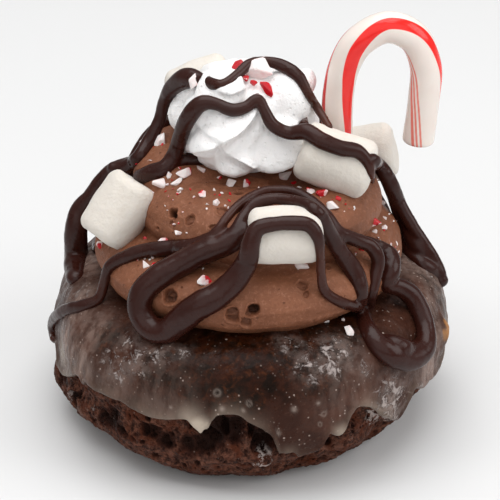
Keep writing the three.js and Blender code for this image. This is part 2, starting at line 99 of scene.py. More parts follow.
CREAM_CENTRE = np.array([-2.3, 4, 67.2])
CREAM = dict(radius=16.2, height=13.8, underside=10.2, lobes=6, lobe_depth=0.17, twist=-0.85,
             squareness=2.35, base_squareness=2.8)
# Peaks drawn out of the cream: pixel across and down, and half width in mm, from the foot up
PEAKS = [
    [(205, 106, 3.2), (204.5, 96, 2.3), (204.5, 86, 1.75), (205.5, 79, 1.2), (206.5, 73, 0.7)],
    [(226, 100, 3.4), (231, 92, 3.2), (235, 86, 2.6), (237, 80, 1.4)],
]
# Lobes of the cream: the view and the pixel where each shows, its half width, half height and half depth in
# mm, how far its middle lies behind the surface there, and its roll in degrees
LOBES = [
    (FRONT, (284, 99), (6.2, 6.5, 6.0), 3.6, -12),
    (FRONT, (276, 140), (7.0, 6.6, 6.0), 3.4, 0),
    (FRONT, (226, 118), (6.0, 3.9, 5.0), 2.4, -6),
    (FRONT, (226, 133), (8.6, 4.4, 6.0), 3.6, 26),
    (FRONT, (236, 161), (4.8, 3.5, 4.4), 1.6, 8),
    (FRONT, (227, 93), (3.8, 3.4, 4.0), 2.6, 20),
    (FRONT, (181, 111), (2.7, 4.2, 3.4), 1.2, -14),
    (FRONT, (302, 85), (2.8, 4.0, 3.4), 1.0, -30),
    (BACK, (214, 134), (4.6, 7.4, 5.0), 3.6, -24),
    (BACK, (262, 142), (4.6, 8.0, 5.0), 3.6, -14),
    (90, (262, 134), (4.4, 7.8, 5.0), 3.6, -18),
    (-90, (262, 130), (4.4, 7.8, 5.0), 3.6, -18),
]
# Edges of folds that lap over what is below them: pixel across and down, and height in mm. The fold is on the
# left of the line as it runs.
FOLD_EDGES = [
    [(190, 151, 1.2), (203, 148, 2.4), (218, 142, 3.1), (229, 135, 3.4), (240, 128, 3.2), (249, 120, 2.8),
     (255, 112, 2.0), (259, 105, 0.9)],
    [(200, 126, 0.8), (211, 134, 1.6), (223, 135.5, 1.8), (235, 132, 1.5), (246, 123, 0.8)],
    [(226, 151, 1.7), (241, 157, 2.6), (253, 163, 2.9), (265, 168, 2.7), (275, 169, 2.3), (287, 166, 2.1),
     (298, 159, 1.7), (306, 147, 0.9)],
    [(218, 90, 0.4), (229, 93, 0.9), (240, 90, 0.9), (250, 84, 0.5)],
    [(262, 112, 0.5), (268, 122, 1.1), (280, 126, 1.3), (294, 124, 1.0), (306, 116, 0.5)],
    [(217, 168, 0.6), (226, 173, 1.0), (238, 174, 1.0), (250, 170, 0.6)],
]
# Where the cream is torn and rough: pixel across and down, radius in mm, and strength
RAGGED_CREAM = [
    (178, 104, 3.4, 1.0), (180, 118, 3.4, 1.0), (184, 96, 2.4, 0.8), (224, 92, 2.2, 0.7),
    (236, 174, 2.6, 0.6),
]
# How far in mm a fold rises to its edge, and how far it then takes to drop
FOLD_SLOPE = 4.2
FOLD_DROP = 0.6

MARSHMALLOW = dict(radius=6.3, length=14, corner=2.3)
MARSHMALLOWS = {
    "marshmallow_left": dict(at=(-28.1, -6.6, 50.9), axis=(0.55, 0.36, 0.74), stretch=1.08),
    "marshmallow_front": dict(at=(7.4, -26, 55.1), axis=(1, 0.1, -0.02), stretch=1.1, thick=0.92),
    "marshmallow_right": dict(at=(18.4, -7.6, 63.4), axis=(0.93, -0.05, -0.32), stretch=1.14),
    "marshmallow_back_right": dict(at=(26, 17, 53.2), axis=(0.97, -0.12, 0.2), stretch=1),
    "marshmallow_top": dict(at=(-10.4, 14, 70.6), axis=(0.93, 0.2, 0.3), stretch=1.04),
    "marshmallow_back": dict(at=(7.5, 21.5, 58.2), axis=(0.96, 0.28, 0.05), stretch=1),
}

# Angles in degrees at which the rings of a tube's round ends stand
CAP_BENDS = (72, 54, 36, 18)

CANE_RADIUS = 3.45
CANE_CORNERS = 64
CANE_PLANE_Y = 6.5
CANE_LINE = [
    (19.4, 52), (19.3, 63), (19.5, 73), (20.7, 79.4), (23.6, 84.8), (29.6, 88.3), (35.4, 86), (38.2, 79.6),
    (38.1, 71.5), (37.3, 62),
]

# How far the wide stripe has turned inwards from the front, and its half width, in degrees along the cane
STRIPE_TURN = [
    (0, 62, 10), (0.17, 48, 16), (0.25, 42, 22), (0.34, 32, 27), (0.47, -2, 26), (0.57, -36, 22),
    (0.656, -50, 20), (0.7, -58, 18), (0.754, -68, 17), (0.867, -95, 16), (1, -125, 16),
]
# The thin stripes and the stripe at the far edge: their angle and half width in degrees
THIN_STRIPES = [(116, 4.0), (131, 4.2), (146, 6.0)]
FAR_STRIPE = (-121, 28)

# Each point of a strand is its pixel across and down, and its thickness in mm
DRIZZLE = {
    "top arc": dict(step=26, ends=(499, 484), line=[
        (114, 168, 3.0), (124, 167, 3.2), (138, 159, 3.4), (149, 141, 3.0), (159, 121, 2.7),
        (165, 100, 2.9), (174, 86, 3.8), (188, 78, 4.5), (203, 81, 3.0), (221, 85, 2.3), (236, 76, 2.3),
        (248, 65, 2.3), (262, 61, 2.1), (281, 65, 2.7), (298, 76, 2.6), (308, 93, 2.0), (318, 109, 1.9),
        (329, 127, 1.7)]),
    "cream front": dict(step=14, line=[
        (140, 177, 3.4), (152, 173, 3.8), (166, 167, 3.6), (175, 153, 3.4), (182, 132, 3.4),
        (190, 115, 3.7), (202, 103, 3.4), (216, 104, 2.7), (232, 110, 2.8), (246, 107, 2.6),
        (258, 99, 2.4), (264, 109, 2.4), (273, 125, 2.7), (289, 133, 2.9), (306, 132, 3.6),
        (322, 141, 3.6), (341, 148, 3.4), (357, 151, 3.1), (367, 161, 2.5), (371, 174, 1.8),
        (371, 182, 1.4)]),
    "under the cream": dict(under=True, line=[
        (170, 166, 2.6), (184, 161, 2.8), (200, 160, 2.8), (214, 161, 2.6), (228, 162, 2.2)]),
    "left drop": dict(ends=(498, None), line=[
        (129, 163, 3.0), (113, 169, 3.0), (101, 181, 3.2), (90, 197, 3.6), (81, 208, 4.1), (77, 221, 4.7),
        (76, 238, 5.2), (76, 254, 5.3), (76, 268, 5.2), (76, 278, 4.6)]),
    "left trail": dict(line=[
        (212, 240, 3.6), (196, 246, 3.6), (173, 248, 3.4), (150, 250, 3.2), (128, 256, 3.0),
        (110, 266, 2.6), (105, 280, 2.2), (98, 299, 2.3), (82, 306, 2.7), (64, 311, 2.8), (54, 321, 2.8),
        (54, 338, 2.0)]),
    "big loop": dict(line=[
        (244, 232, 4.4), (227, 243, 4.8), (204, 252, 5.2), (181, 264, 5.4), (157, 278, 5.4),
        (142, 294, 5.4), (140, 312, 5.2), (151, 328, 5.2), (165, 331, 5.4), (180, 321, 5.8),
        (197, 307, 5.8), (217, 296, 5.4), (236, 279, 5.0), (247, 261, 4.4), (251, 243, 3.8),
        (257, 229, 3.4), (275, 224, 3.0), (295, 223, 3.0), (309, 225, 3.0), (318, 237, 2.6),
        (320, 252, 2.0), (321, 273, 2.0), (325, 291, 2.3), (343, 303, 2.3), (360, 307, 2.6),
        (369, 308, 2.6)]),
    "outer arch": dict(line=[
        (205, 243, 2.6), (218, 230, 2.2), (229, 215, 2.0), (242, 203, 2.2), (259, 193, 2.2),
        (277, 190, 2.2), (297, 193, 2.4), (315, 204, 2.6), (327, 217, 2.8), (338, 232, 3.0),
        (354, 239, 3.0), (370, 246, 3.0), (378, 259, 3.0), (376, 274, 2.8), (372, 291, 2.6),
        (368, 307, 2.6)]),
    "inner arch": dict(line=[
        (222, 243, 3.0), (236, 231, 3.0), (245, 216, 2.8), (255, 204, 2.8), (271, 199, 2.6),
        (290, 200, 2.4), (308, 205, 2.6), (321, 217, 3.0), (330, 235, 3.4), (342, 254, 3.8),
        (353, 270, 4.0), (360, 287, 3.6), (361, 302, 2.8)]),
    "right loop": dict(line=[
        (366, 243, 3.0), (380, 249, 3.6), (390, 258, 4.2), (390, 271, 4.4), (387, 283, 4.0),
        (399, 287, 4.0), (411, 295, 4.2), (420, 311, 4.2), (426, 331, 4.2), (424, 349, 4.8),
        (411, 358, 5.4), (394, 355, 5.4), (378, 345, 4.6), (368, 330, 3.8), (363, 315, 3.4)]),
    "right inner fall": dict(line=[
        (372, 160, 3.0), (383, 170, 3.4), (391, 185, 3.6), (397, 202, 3.6), (402, 220, 3.4),
        (406, 238, 3.0), (409, 252, 3.0), (420, 263, 3.2), (433, 272, 3.4), (441, 280, 3.4)]),
    "right outer fall": dict(ends=(505, 508), line=[
        (390, 182, 2.8), (397, 198, 2.8), (406, 215, 2.8), (415, 230, 2.8), (425, 245, 2.8),
        (434, 260, 2.8), (440, 274, 3.0)]),
    "right web": dict(ends=(None, 508), line=[
        (401, 212, 2.6), (409, 229, 3.6), (417, 244, 4.2), (427, 257, 4.2), (437, 270, 3.6)]),
    "back crown": dict(view=BACK, line=[
        (174, 199, 3.2), (188, 180, 3.2), (204, 158, 3.2), (224, 142, 3.2), (246, 138, 3.2),
        (262, 152, 3.2), (266, 176, 3.4), (282, 196, 3.6), (310, 200, 3.6), (338, 196, 3.4),
        (362, 208, 3.4), (382, 234, 3.6), (399, 264, 3.4), (408, 290, 2.8)]),
    "back zigzag": dict(view=BACK, line=[
        (108, 276, 3.4), (140, 250, 3.4), (180, 224, 3.6), (222, 200, 3.4), (262, 186, 3.2),
        (298, 196, 3.4), (310, 222, 3.8), (288, 250, 4.2), (252, 276, 4.4), (222, 300, 4.4),
        (226, 330, 4.8), (252, 338, 4.6), (286, 312, 4.4), (326, 280, 4.0), (366, 262, 3.8),
        (394, 284, 3.8), (392, 318, 4.0), (366, 338, 3.6)]),
    "back drip": dict(view=BACK, line=[
        (140, 250, 3.2), (126, 280, 3.6), (134, 312, 4.0), (158, 330, 4.2), (176, 316, 3.6),
        (176, 284, 3.2), (190, 262, 3.0)]),
    # Small joins of the drizzle that only show close up: where it pools, and where it was drawn to a tip
    "loop pool": dict(line=[(380, 342, 3.4), (392, 345, 4.4), (406, 350, 4.6), (418, 348, 3.0)]),
    "left tip": dict(line=[(204, 105, 3.0), (203, 100, 2.0), (203, 97, 1.0)]),
    "middle tip": dict(line=[(258, 101, 2.6), (258, 98, 1.9), (257, 95, 1.1)]),
    "right tip": dict(line=[(303, 130, 3.4), (304, 124, 2.2), (306, 118, 0.9)]),
}
# How strands lie: how far their middle and ends stand out, as shares of their thickness, over how many pixels
# the ends come down and a line is pulled straight, and how finely the line is followed and how often softened
STRAND = dict(lift=0.32, lift_over=0.44, end_lift=-0.1, end_pixels=60, step=21, swell=1.04, fine=3.0,
              softening=10)
# Which tree of the toppings is which. Those from the cream on lie over the frosting.
RING_TREE = 0
COIL_TREE = 1
CREAM_TREE = 2

# Shards on the frosting: pixel across and down, width and height in mm, roll in degrees, and share of red
PEPPERMINT_FRONT = [
    (160, 183.5, 3.6, 2.4, 0, 0.12), (176.5, 182, 2.6, 1.5, 28, 0.1), (184, 173, 3.6, 3.0, -20, 0.42),
    (200, 169, 2.8, 2.7, 0, 0.25), (211, 164, 2.2, 2.6, 10, 0.85), (185, 152, 1.7, 1.9, 0, 0.45),
    (160, 143, 2.2, 5.2, -8, 0.05), (168, 174.5, 2.2, 1.6, -30, 0.0), (180, 190, 1.6, 1.3, 20, 0.05),
    (202.5, 195, 2.2, 1.9, 0, 0.35), (216.5, 202.5, 1.9, 2.1, 15, 0.1), (230.5, 185, 2.5, 3.1, -20, 0.08),
    (220, 178, 1.3, 0.9, 0, 0.6), (246, 184, 1.7, 1.9, 0, 0.45), (285, 177.5, 2.9, 4.0, -12, 0.38),
    (294.5, 183.5, 1.5, 1.4, 0, 0.95), (299, 188, 1.3, 0.8, 0, 0.05), (311, 191.5, 2.2, 2.0, 0, 0.35),
    (322, 193.5, 2.6, 2.5, 10, 0.7), (333, 205.5, 2.7, 2.5, -15, 0.2), (339, 199, 1.7, 1.4, 0, 0.9),
    (375, 222, 3.6, 2.4, -6, 0.8), (374, 231, 1.5, 1.6, 0, 0.05), (384, 228, 1.5, 1.4, 0, 0.1),
    (393.5, 212.5, 3.8, 2.5, -4, 0.5), (385, 218, 1.0, 1.0, 0, 0.1), (395.5, 240, 1.2, 3.6, -6, 0.1),
    (361, 249, 1.3, 1.5, 0, 0.95), (302, 266, 3.6, 1.6, 0, 0.4), (356, 236, 2.6, 0.9, -12, 0.05),
    (239.5, 259, 2.2, 2.4, 0, 0.45), (230.5, 194, 0.9, 1.1, 0, 0.9), (178, 234, 1.9, 1.8, 25, 0.1),
    (168, 241, 5.0, 1.8, 8, 0.6), (145, 238.5, 0.9, 0.9, 0, 0.9), (189, 241, 1.1, 1.0, 0, 0.1),
    (100, 245.5, 2.2, 2.1, 0, 0.4), (145, 265, 2.9, 1.5, -35, 0.1), (156, 265, 2.7, 1.7, 5, 0.75),
    (208, 281.5, 5.0, 2.3, -4, 0.58), (214, 190, 0.8, 0.8, 0, 0.1), (222, 193, 0.8, 0.7, 0, 0.1),
]
# The same for those on the cream, some with how far they stand out in mm
PEPPERMINT_ON_CREAM = [
    (260, 70, 7.4, 4.6, 4, 0.16, 2.8), (268, 89, 4.8, 2.4, -52, 1.0, 0.5), (239, 66, 3.6, 3.0, 10, 0.95),
    (245, 78, 2.4, 1.6, -20, 0.9, 1.4), (253, 84, 2.0, 1.4, 10, 0.9, 0.8),
    (195.5, 83, 2.4, 3.8, -25, 0.4, 2.2), (304, 80, 3.4, 5.6, 15, 0.1), (248, 74, 1.2, 0.9, 0, 0.8),
    (262, 100, 0.8, 0.7, 0, 0.3),
]
PEPPERMINT_ON_GLAZE = [
    (349, 333, 2.2, 3.2, 12, 0.2), (343, 320, 1.0, 0.8, 20, 0.1), (326, 322, 1.6, 0.9, 0, 0.1),
]
PEPPERMINT_BEHIND = dict(count=22, inner=15, outer=32, smallest=1.5, largest=3.3, seed=11)
# Crumbs of peppermint: how many for each shard, how far they spread and how large they are in mm
CRUMBS = dict(each=4, spread=3.2, smallest=0.4, largest=1.1, seed=23)
DROP_HEIGHT = 110

# Pits left by air in the frosting: pixel across and down, radius and depth in mm
PITS = [
    (173.5, 213, 1.3, 1.5), (176, 217, 0.7, 0.8), (238.5, 193.5, 1.25, 1.2), (241, 190, 0.7, 0.7),
    (172, 224, 0.8, 0.35), (190.5, 221, 1.2, 0.5), (222, 211, 1.3, 0.4), (169, 296, 1.9, 1.0),
    (165, 300, 1.0, 0.7), (232, 315, 1.7, 0.75), (254, 309.5, 1.5, 1.35), (250, 313, 0.9, 0.8),
    (246, 322, 1.3, 0.6), (302, 285, 1.3, 0.4), (306, 294, 0.9, 0.35), (213, 228, 0.7, 0.3),
    (327, 267, 0.7, 0.3), (157, 229, 0.6, 0.4),
]
# Small holes: the size and the seed of the cells that they are scattered in, and the mark of cells with one
AIR_HOLES = (5.2, 8)
HOLE_MARK = 0.66

# Where the glaze's hem runs across the front: pixel across and down
HEM = [
    (57, 349), (65, 369), (83, 381), (95, 391), (106, 396), (120, 402), (133, 411), (148, 417), (164, 421),
    (178, 420), (186, 422), (193, 428), (200, 431.5), (207, 429), (212, 423), (218, 418), (227, 417),
    (239, 417), (252, 425), (264, 431.5), (272, 435), (276, 444), (280, 452), (286, 455), (293, 453.5),
    (301, 449.5), (310, 446), (316, 440), (322, 434.5), (331, 434), (339, 436.5), (344, 431), (348, 422),
    (354, 413), (361, 408), (374, 409), (383, 416), (400, 418), (416, 404),
]
# Features of the cake's surface: pixel across and down, radius in mm, and strength
CAVITIES = [
    (192, 446, 2.0, 1.0), (204, 443, 2.2, 1.1), (214, 435, 2.4, 1.3), (224, 426, 2.3, 1.2),
    (235, 424, 2.1, 1.4), (237, 437, 1.7, 1.2), (259, 439, 1.8, 1.8), (267, 440, 2.0, 1.9),
    (275, 445, 1.5, 1.4), (166, 440, 1.6, 0.9), (154, 430, 1.4, 0.8), (111, 413, 1.7, 0.9),
    (112, 423, 1.8, 0.9), (63, 377, 1.4, 0.7), (361, 415, 2.4, 1.0), (352, 420, 1.8, 0.8),
]
LUMPS = [
    (441, 330, 2.9, 1.7), (411, 402, 2.0, 1.2), (262, 457, 2.4, 1.1), (248, 434, 1.3, 1.2),
    (72, 393, 2.6, 0.9), (312, 444, 1.7, 0.9),
]
# A column of crumb that stands between two cavities
CRUMB_COLUMN = [(248, 423, 1.2, 1.0), (248, 430, 1.2, 1.0), (247, 437, 1.3, 1.0), (245, 444, 1.4, 1.0)]
# Pores of the torn crumb: the size of the cells that they are in, least and greatest radius, and seed
PORES = [(3.9, 0.7, 2.1, 5), (2.1, 0.35, 1.1, 15), (1.2, 0.2, 0.55, 25)]
DRY_GLAZE = [
    (129, 345, 3.4, 0.9), (116, 366, 4.2, 1.0), (135, 361, 3.8, 1.0), (160, 351, 3.4, 0.9),
    (184, 351, 1.9, 0.9), (290, 343, 3.6, 0.7), (309, 364, 4.0, 0.8), (327, 350, 4.6, 0.9),
    (339, 352, 4.2, 1.0), (336, 366, 3.2, 0.9), (314, 374, 2.8, 0.8), (364, 368, 2.2, 0.8),
    (392, 402, 5.4, 1.8), (402, 411, 4.6, 1.9), (388, 416, 4.4, 1.8), (262, 457, 2.4, 1.3),
    (78, 296, 4.0, 0.6), (427, 372, 2.6, 0.8), (418, 388, 3.0, 0.9), (408, 378, 2.4, 0.6),
    (70, 395, 4.0, 0.55), (92, 410, 4.0, 0.5),
]
# Where the glaze is painted paler: at the left and right edges a painted sheen where the sides catch the
# light, elsewhere a thick film of sugar
PALE_FILM_AND_SHEEN = [
    (66, 345, 6, 1.0), (80, 362, 5, 0.8), (92, 330, 5, 0.5), (76, 306, 6, 0.7), (118, 386, 5, 0.3),
    (428, 372, 5, 1.0), (436, 335, 4, 0.6), (410, 394, 5, 0.8), (428, 300, 5, 0.4), (350, 390, 8, 0.25),
    (160, 400, 8, 0.25),
]
BARE_CAKE = [
    (235, 352, 9, 1.0), (268, 362, 8, 1.0), (205, 356, 8, 0.9), (300, 350, 7, 0.7), (160, 372, 6, 0.6),
    (250, 380, 7, 0.7), (205, 380, 7, 0.7), (322, 372, 6, 0.7), (108, 336, 5, 0.5), (330, 330, 8, 0.8),
]
MILKY_GLAZE = [
    (198, 427, 2.4, 1.3), (206, 425, 1.6, 1.1), (341, 432, 2.0, 0.6), (288, 454, 2.0, 0.2),
    (62, 352, 3.0, 0.5), (190, 421, 3.0, 0.6),
]
# Painted amber glints on the glaze and in the crumb: pixel across and down, radius in mm, and strength
AMBER_GLINTS = [(442, 330, 3.0, 1.0), (274, 437, 0.8, 0.9), (365, 318, 1.4, 0.7)]
BUBBLES = [(217, 393, 0.65), (249, 403, 0.5), (324, 414, 0.55), (320, 424, 0.4)]
WHITE_SPOTS = [
    (222, 409, 0.7), (294, 409, 0.7), (318, 403, 0.5), (171, 407, 0.4), (243, 410, 0.5), (278, 432, 0.6),
]

# The set, in metres. Each light has its place, its size and its power in watts.
FLOOR_REACH = 4.0
FLOOR_HEIGHT = -0.0002
LIGHTS = {
    "top light": ((-0.06, 0.02, 0.8), (0.9, 0.8), 6.3),
    "front light": ((-0.05, -0.85, 0.55), (1.3, 0.8), 2.6),
    "left light": ((-0.7, -0.2, 0.6), (0.6, 0.6), 0.3),
    "right light": ((0.75, -0.2, 0.55), (0.6, 0.6), 3.1),
}
LIGHTS_AIM = (0, 0, 0.04)


# Numbers that vary over space
def lattice(cells, seed):
    """A repeatable number from 0 to 1 for each row of whole numbers."""
    mask = 0xFFFFFFFF
    mixed = (cells @ np.array([374761393, 668265263, 1442695041]) + seed * 1274126177) & mask
    mixed = ((mixed ^ (mixed >> 13)) * 1274126177) & mask
    return (mixed ^ (mixed >> 16)) / mask


def soft_noise(points, size, seed=0):
    """Smooth noise from -1 to 1 with features of a size in mm."""
    scaled = points / size
    base = np.floor(scaled).astype(np.int64)
    share = scaled - base
    share = share * share * (3 - 2 * share)
    total = np.zeros(len(points))
    for corner in np.ndindex(2, 2, 2):
        weight = np.prod(np.where(corner, share, 1 - share), axis=1)
        total += weight * lattice(base + np.array(corner), seed)
    return 2 * total - 1


def rough_noise(points, size, octaves, seed=0):
    """Noise from -1 to 1 with finer and finer features, the largest of a size in mm."""
    total = np.zeros(len(points))
    for octave in range(octaves):
        total += soft_noise(points + 31.7 * octave, size / 2 ** octave, seed + octave) / 2 ** octave
    return total / (2 - 0.5 ** (octaves - 1))


def scattered(points, size, seed):
    """The distance in mm to the nearest of some scattered points, and a number from 0 to 1 for that one."""
    scaled = points / size
    base = np.floor(scaled).astype(np.int64)
    nearest = np.full(len(points), 9.0)
    mark = np.zeros(len(points))
    for corner in np.ndindex(3, 3, 3):
        cell = base + np.array(corner) - 1
        at = cell + np.stack([lattice(cell, seed + 1 + axis) for axis in range(3)], axis=1)
        away = np.linalg.norm(scaled - at, axis=1)
        closer = away < nearest
        nearest[closer] = away[closer]
        mark[closer] = lattice(cell, seed)[closer]
    return nearest * size, mark


def warped(points, size, reach, seed):
    """The points moved about by noise, so that what is shaped by them comes out uneven."""
    return points + reach * np.stack([soft_noise(points, size, seed + axis) for axis in range(3)], axis=1)


def smooth(value, low, high):
    """0 below low, 1 above high, and a soft step between."""
    share = np.clip((value - low) / (high - low), 0, 1)
    return share * share * (3 - 2 * share)


def bell(value):
    """1 at 0, falling off softly on both sides."""
    return np.exp(-value ** 2)


def distances(points, centre):
    return np.linalg.norm(points - centre, axis=1)


def signed_power(value, power):
    return np.sign(value) * np.abs(value) ** power


def unit(vectors):
    return vectors / np.linalg.norm(vectors, axis=-1, keepdims=True)


def turn_between(turn, direction):
    """The angle in degrees from a direction in degrees to turns in radians, the short way round."""
    away = turn - math.radians(direction)
    return np.degrees(np.arctan2(np.sin(away), np.cos(away)))


# Meshes
def grid_faces(rows, columns, closed_rows=True):
    """Four-sided faces of a grid that closes on itself along its columns, and along its rows too if asked."""
    row = np.arange(rows if closed_rows else rows - 1)[:, None]
    column = np.arange(columns)[None, :]
    below, beside = (row + 1) % rows, (column + 1) % columns
    corners = [(row, column), (row, beside), (below, beside), (below, column)]
    return np.stack([along * columns + across for along, across in corners], axis=-1).reshape(-1, 4)


def tipped_faces(rows, corners):
    """Faces of a grid of rings whose two ends close on tips, which are the two points after the grid's."""
    faces = [tuple(face) for face in grid_faces(rows, corners, closed_rows=False)]
    tip, last = rows * corners, (rows - 1) * corners
    for corner in range(corners):
        beside = (corner + 1) % corners
        faces.append((tip, beside, corner))
        faces.append((tip + 1, last + corner, last + beside))
    return faces


def new_piece(name, points, faces):
    """A smooth mesh object from points in mm."""
    mesh = bpy.data.meshes.new(name)
    faces = np.asarray(faces, dtype=object).tolist()
    mesh.from_pydata((np.asarray(points) * MM).tolist(), [], faces)
    mesh.validate()
    mesh.shade_smooth()
    piece = bpy.data.objects.new(name, mesh)
    bpy.context.scene.collection.objects.link(piece)
    return piece


def vertices_of(piece):
    """The points of a piece in mm and its normals."""
    mesh = piece.data
    points = np.empty(3 * len(mesh.vertices))
    normals = np.empty_like(points)
    mesh.vertices.foreach_get("co", points)
    mesh.vertex_normals.foreach_get("vector", normals)
    return points.reshape(-1, 3) / MM, normals.reshape(-1, 3)


def move_vertices(piece, points):
    piece.data.vertices.foreach_set("co", (points * MM).ravel())
    piece.data.update()


def paint(piece, **numbers):
    """Stores numbers for each vertex by name, which the piece's material reads."""
    for name, values in numbers.items():
        layer = piece.data.attributes.new(name, "FLOAT", "POINT")
        layer.data.foreach_set("value", np.asarray(values, dtype=np.float32))


def joined(parts):
    """Points and faces of several closed shapes together."""
    points, faces, start = [], [], 0
    for part_points, part_faces in parts:
        points.append(part_points)
        faces.extend([tuple(int(corner) + start for corner in face) for face in part_faces])
        start += len(part_points)
    return np.concatenate(points), faces


def reskin(piece, voxel, smoothing):
    """Puts one skin round all of a piece, with its creases softened."""
    settings = [("REMESH", dict(mode="VOXEL", voxel_size=voxel * MM)),
                ("SMOOTH", dict(factor=0.5, iterations=smoothing))]
    for kind, values in settings:
        modifier = piece.modifiers.new(kind.lower(), kind)
        for key, value in values.items():
            setattr(modifier, key, value)
    shaped = bpy.data.meshes.new_from_object(piece.evaluated_get(bpy.context.evaluated_depsgraph_get()))
    piece.modifiers.clear()
    piece.data = shaped
    shaped.shade_smooth()


def fused(name, parts, voxel, smoothing):
    """One piece from several shapes that run into each other."""
    piece = new_piece(name, *joined(parts))
    reskin(piece, voxel, smoothing)
    return piece


def refine(piece, near, cuts):
    """Divides the faces of a piece between chosen vertices."""
    mesh = bmesh.new()
    mesh.from_mesh(piece.data)
    chosen = [edge for edge in mesh.edges if near[edge.verts[0].index] and near[edge.verts[1].index]]
    bmesh.ops.subdivide_edges(mesh, edges=chosen, cuts=cuts, use_grid_fill=True)
    mesh.to_mesh(piece.data)
    mesh.free()
    piece.data.update()


def tree_of(piece):
    points, _ = vertices_of(piece)
    return BVHTree.FromPolygons([Vector(p) for p in points], [tuple(f.vertices) for f in piece.data.polygons])


def tree_round(points, faces):
    """A tree of a shape that is only there to place things on."""
    guide = new_piece("guide", points, faces)
    tree = tree_of(guide)
    bpy.data.objects.remove(guide)
    return tree


def nearest_of(centres, points):
    """The index of the centre that is nearest to each point."""
    finder = KDTree(len(centres))
    for index, centre in enumerate(centres):
        finder.insert(centre, index)
    finder.balance()
    return np.array([finder.find(point)[1] for point in points])


# Curves and round shapes
def curve_through(corners, count):
    """Points along the centripetal Catmull-Rom curve through the corners, with count of them between two."""
    corners = np.asarray(corners, dtype=float)
    padded = np.vstack([2 * corners[0] - corners[1], corners, 2 * corners[-1] - corners[-2]])
    found = []
    for p0, p1, p2, p3 in zip(padded, padded[1:], padded[2:], padded[3:]):
        pairs = ((p0, p1), (p1, p2), (p2, p3))
        d0, d1, d2 = (max(np.linalg.norm(b - a), 1e-9) ** 0.5 for a, b in pairs)
        leave = ((p1 - p0) / d0 - (p2 - p0) / (d0 + d1) + (p2 - p1) / d1) * d1
        arrive = ((p2 - p1) / d1 - (p3 - p1) / (d1 + d2) + (p3 - p2) / d2) * d1
        t = np.arange(count)[:, None] / count
        found.append(p1 + leave * t + (3 * (p2 - p1) - 2 * leave - arrive) * t ** 2
                     + (2 * (p1 - p2) + leave + arrive) * t ** 3)
    return np.vstack([*found, corners[-1:]])


def evenly(points, spacing, axes=3):
    """The same line with its points a spacing apart, measured along its first few axes."""
    lengths = np.linalg.norm(np.diff(points[:, :axes], axis=0), axis=1)
    along = np.concatenate([[0], np.cumsum(lengths)])
    at = np.linspace(0, along[-1], max(4, round(along[-1] / spacing) + 1))
    return np.stack([np.interp(at, along, points[:, axis]) for axis in range(points.shape[1])], axis=1)


def ring_order(count):
    """The centre that each ring of a tube stands round. Those of its round ends share the first or last."""
    ends = len(CAP_BENDS)
    return [0] * ends + list(range(count)) + [-1] * ends


def tube(centres, ups, wide, high, corners, cap=1.0):
    """Points and faces of a tube with its half width and half height, and how far its ends bulge."""
    tangents = unit(np.gradient(centres, axis=0))
    sides = unit(np.cross(tangents, ups))
    ups = np.cross(sides, tangents)
    wide = np.broadcast_to(wide, len(centres))
    high = np.broadcast_to(high, len(centres))
    bends = np.radians(CAP_BENDS)
    order = ring_order(len(centres))
    narrow = 1 - cap * (1 - np.cos(bends))
    shrink = np.concatenate([narrow, np.ones(len(centres)), narrow[::-1]])
    reach = cap * np.concatenate([-np.sin(bends), np.zeros(len(centres)), np.sin(bends[::-1])])
    middle = centres[order] + tangents[order] * (wide[order] * reach)[:, None]
    around = 2 * np.pi * np.arange(corners) / corners
    across = sides[order][:, None] * (wide[order] * shrink)[:, None, None] * np.cos(around)[None, :, None]
    upward = ups[order][:, None] * (high[order] * shrink)[:, None, None] * np.sin(around)[None, :, None]
    rings = (middle[:, None] + across + upward).reshape(-1, 3)
    tips = [centres[0] - tangents[0] * cap * wide[0], centres[-1] + tangents[-1] * cap * wide[-1]]
    return np.vstack([rings, tips]), tipped_faces(len(order), corners)


def lathe(profile, corners):
    """Points and faces of a closed shape round the Z axis. The profile starts and ends on the axis."""
    inner = np.array(profile[1:-1], dtype=float)
    around = 2 * np.pi * np.arange(corners) / corners
    rings = np.stack([inner[:, :1] * np.cos(around), inner[:, :1] * np.sin(around),
                      np.broadcast_to(inner[:, 1:], (len(inner), corners))], axis=-1).reshape(-1, 3)
    tips = [(0, 0, profile[0][1]), (0, 0, profile[-1][1])]
    return np.vstack([rings, tips]), tipped_faces(len(inner), corners)


def ball(rows, columns):
    """Points and faces of a sphere of radius 1."""
    bend = np.pi * np.arange(rows + 1) / rows
    return lathe([(math.sin(b), -math.cos(b)) for b in bend], columns)


# Lines of sight
def view_axes(azimuth):
    """The directions to the right, up and back towards the eye in a view."""
    a, e = math.radians(azimuth), math.radians(SIGHT["elevation"])
    back = np.array([math.sin(a) * math.cos(e), -math.cos(a) * math.cos(e), math.sin(e)])
    right = np.array([math.cos(a), math.sin(a), 0])
    return right, np.cross(back, right), back


def rolled_axes(azimuth, roll):
    """The axes of a view, the first two turned by a roll in degrees."""
    right, up, back = view_axes(azimuth)
    angle = math.radians(roll)
    across = right * math.cos(angle) + up * math.sin(angle)
    return across, up * math.cos(angle) - right * math.sin(angle), back


def sight_line(azimuth, x, y):
    """The eye of a view, and the direction in which it sees a pixel."""
    right, up, back = view_axes(azimuth)
    target = np.array(SIGHT["target"], dtype=float)
    eye = target + back * SIGHT["distance"]
    scale = SIGHT["pixels_per_mm"]
    through = target + right * (x - SIGHT["centre"]) / scale + up * (SIGHT["centre"] - y) / scale
    return eye, unit(through - eye)


def pixels_of(points):
    """The pixels at which the front view sees points."""
    right, up, back = view_axes(FRONT)
    away = points - np.array(SIGHT["target"])
    scale = SIGHT["pixels_per_mm"] * SIGHT["distance"] / (SIGHT["distance"] - away @ back)
    return np.stack([SIGHT["centre"] + away @ right * scale, SIGHT["centre"] - away @ up * scale], axis=1)


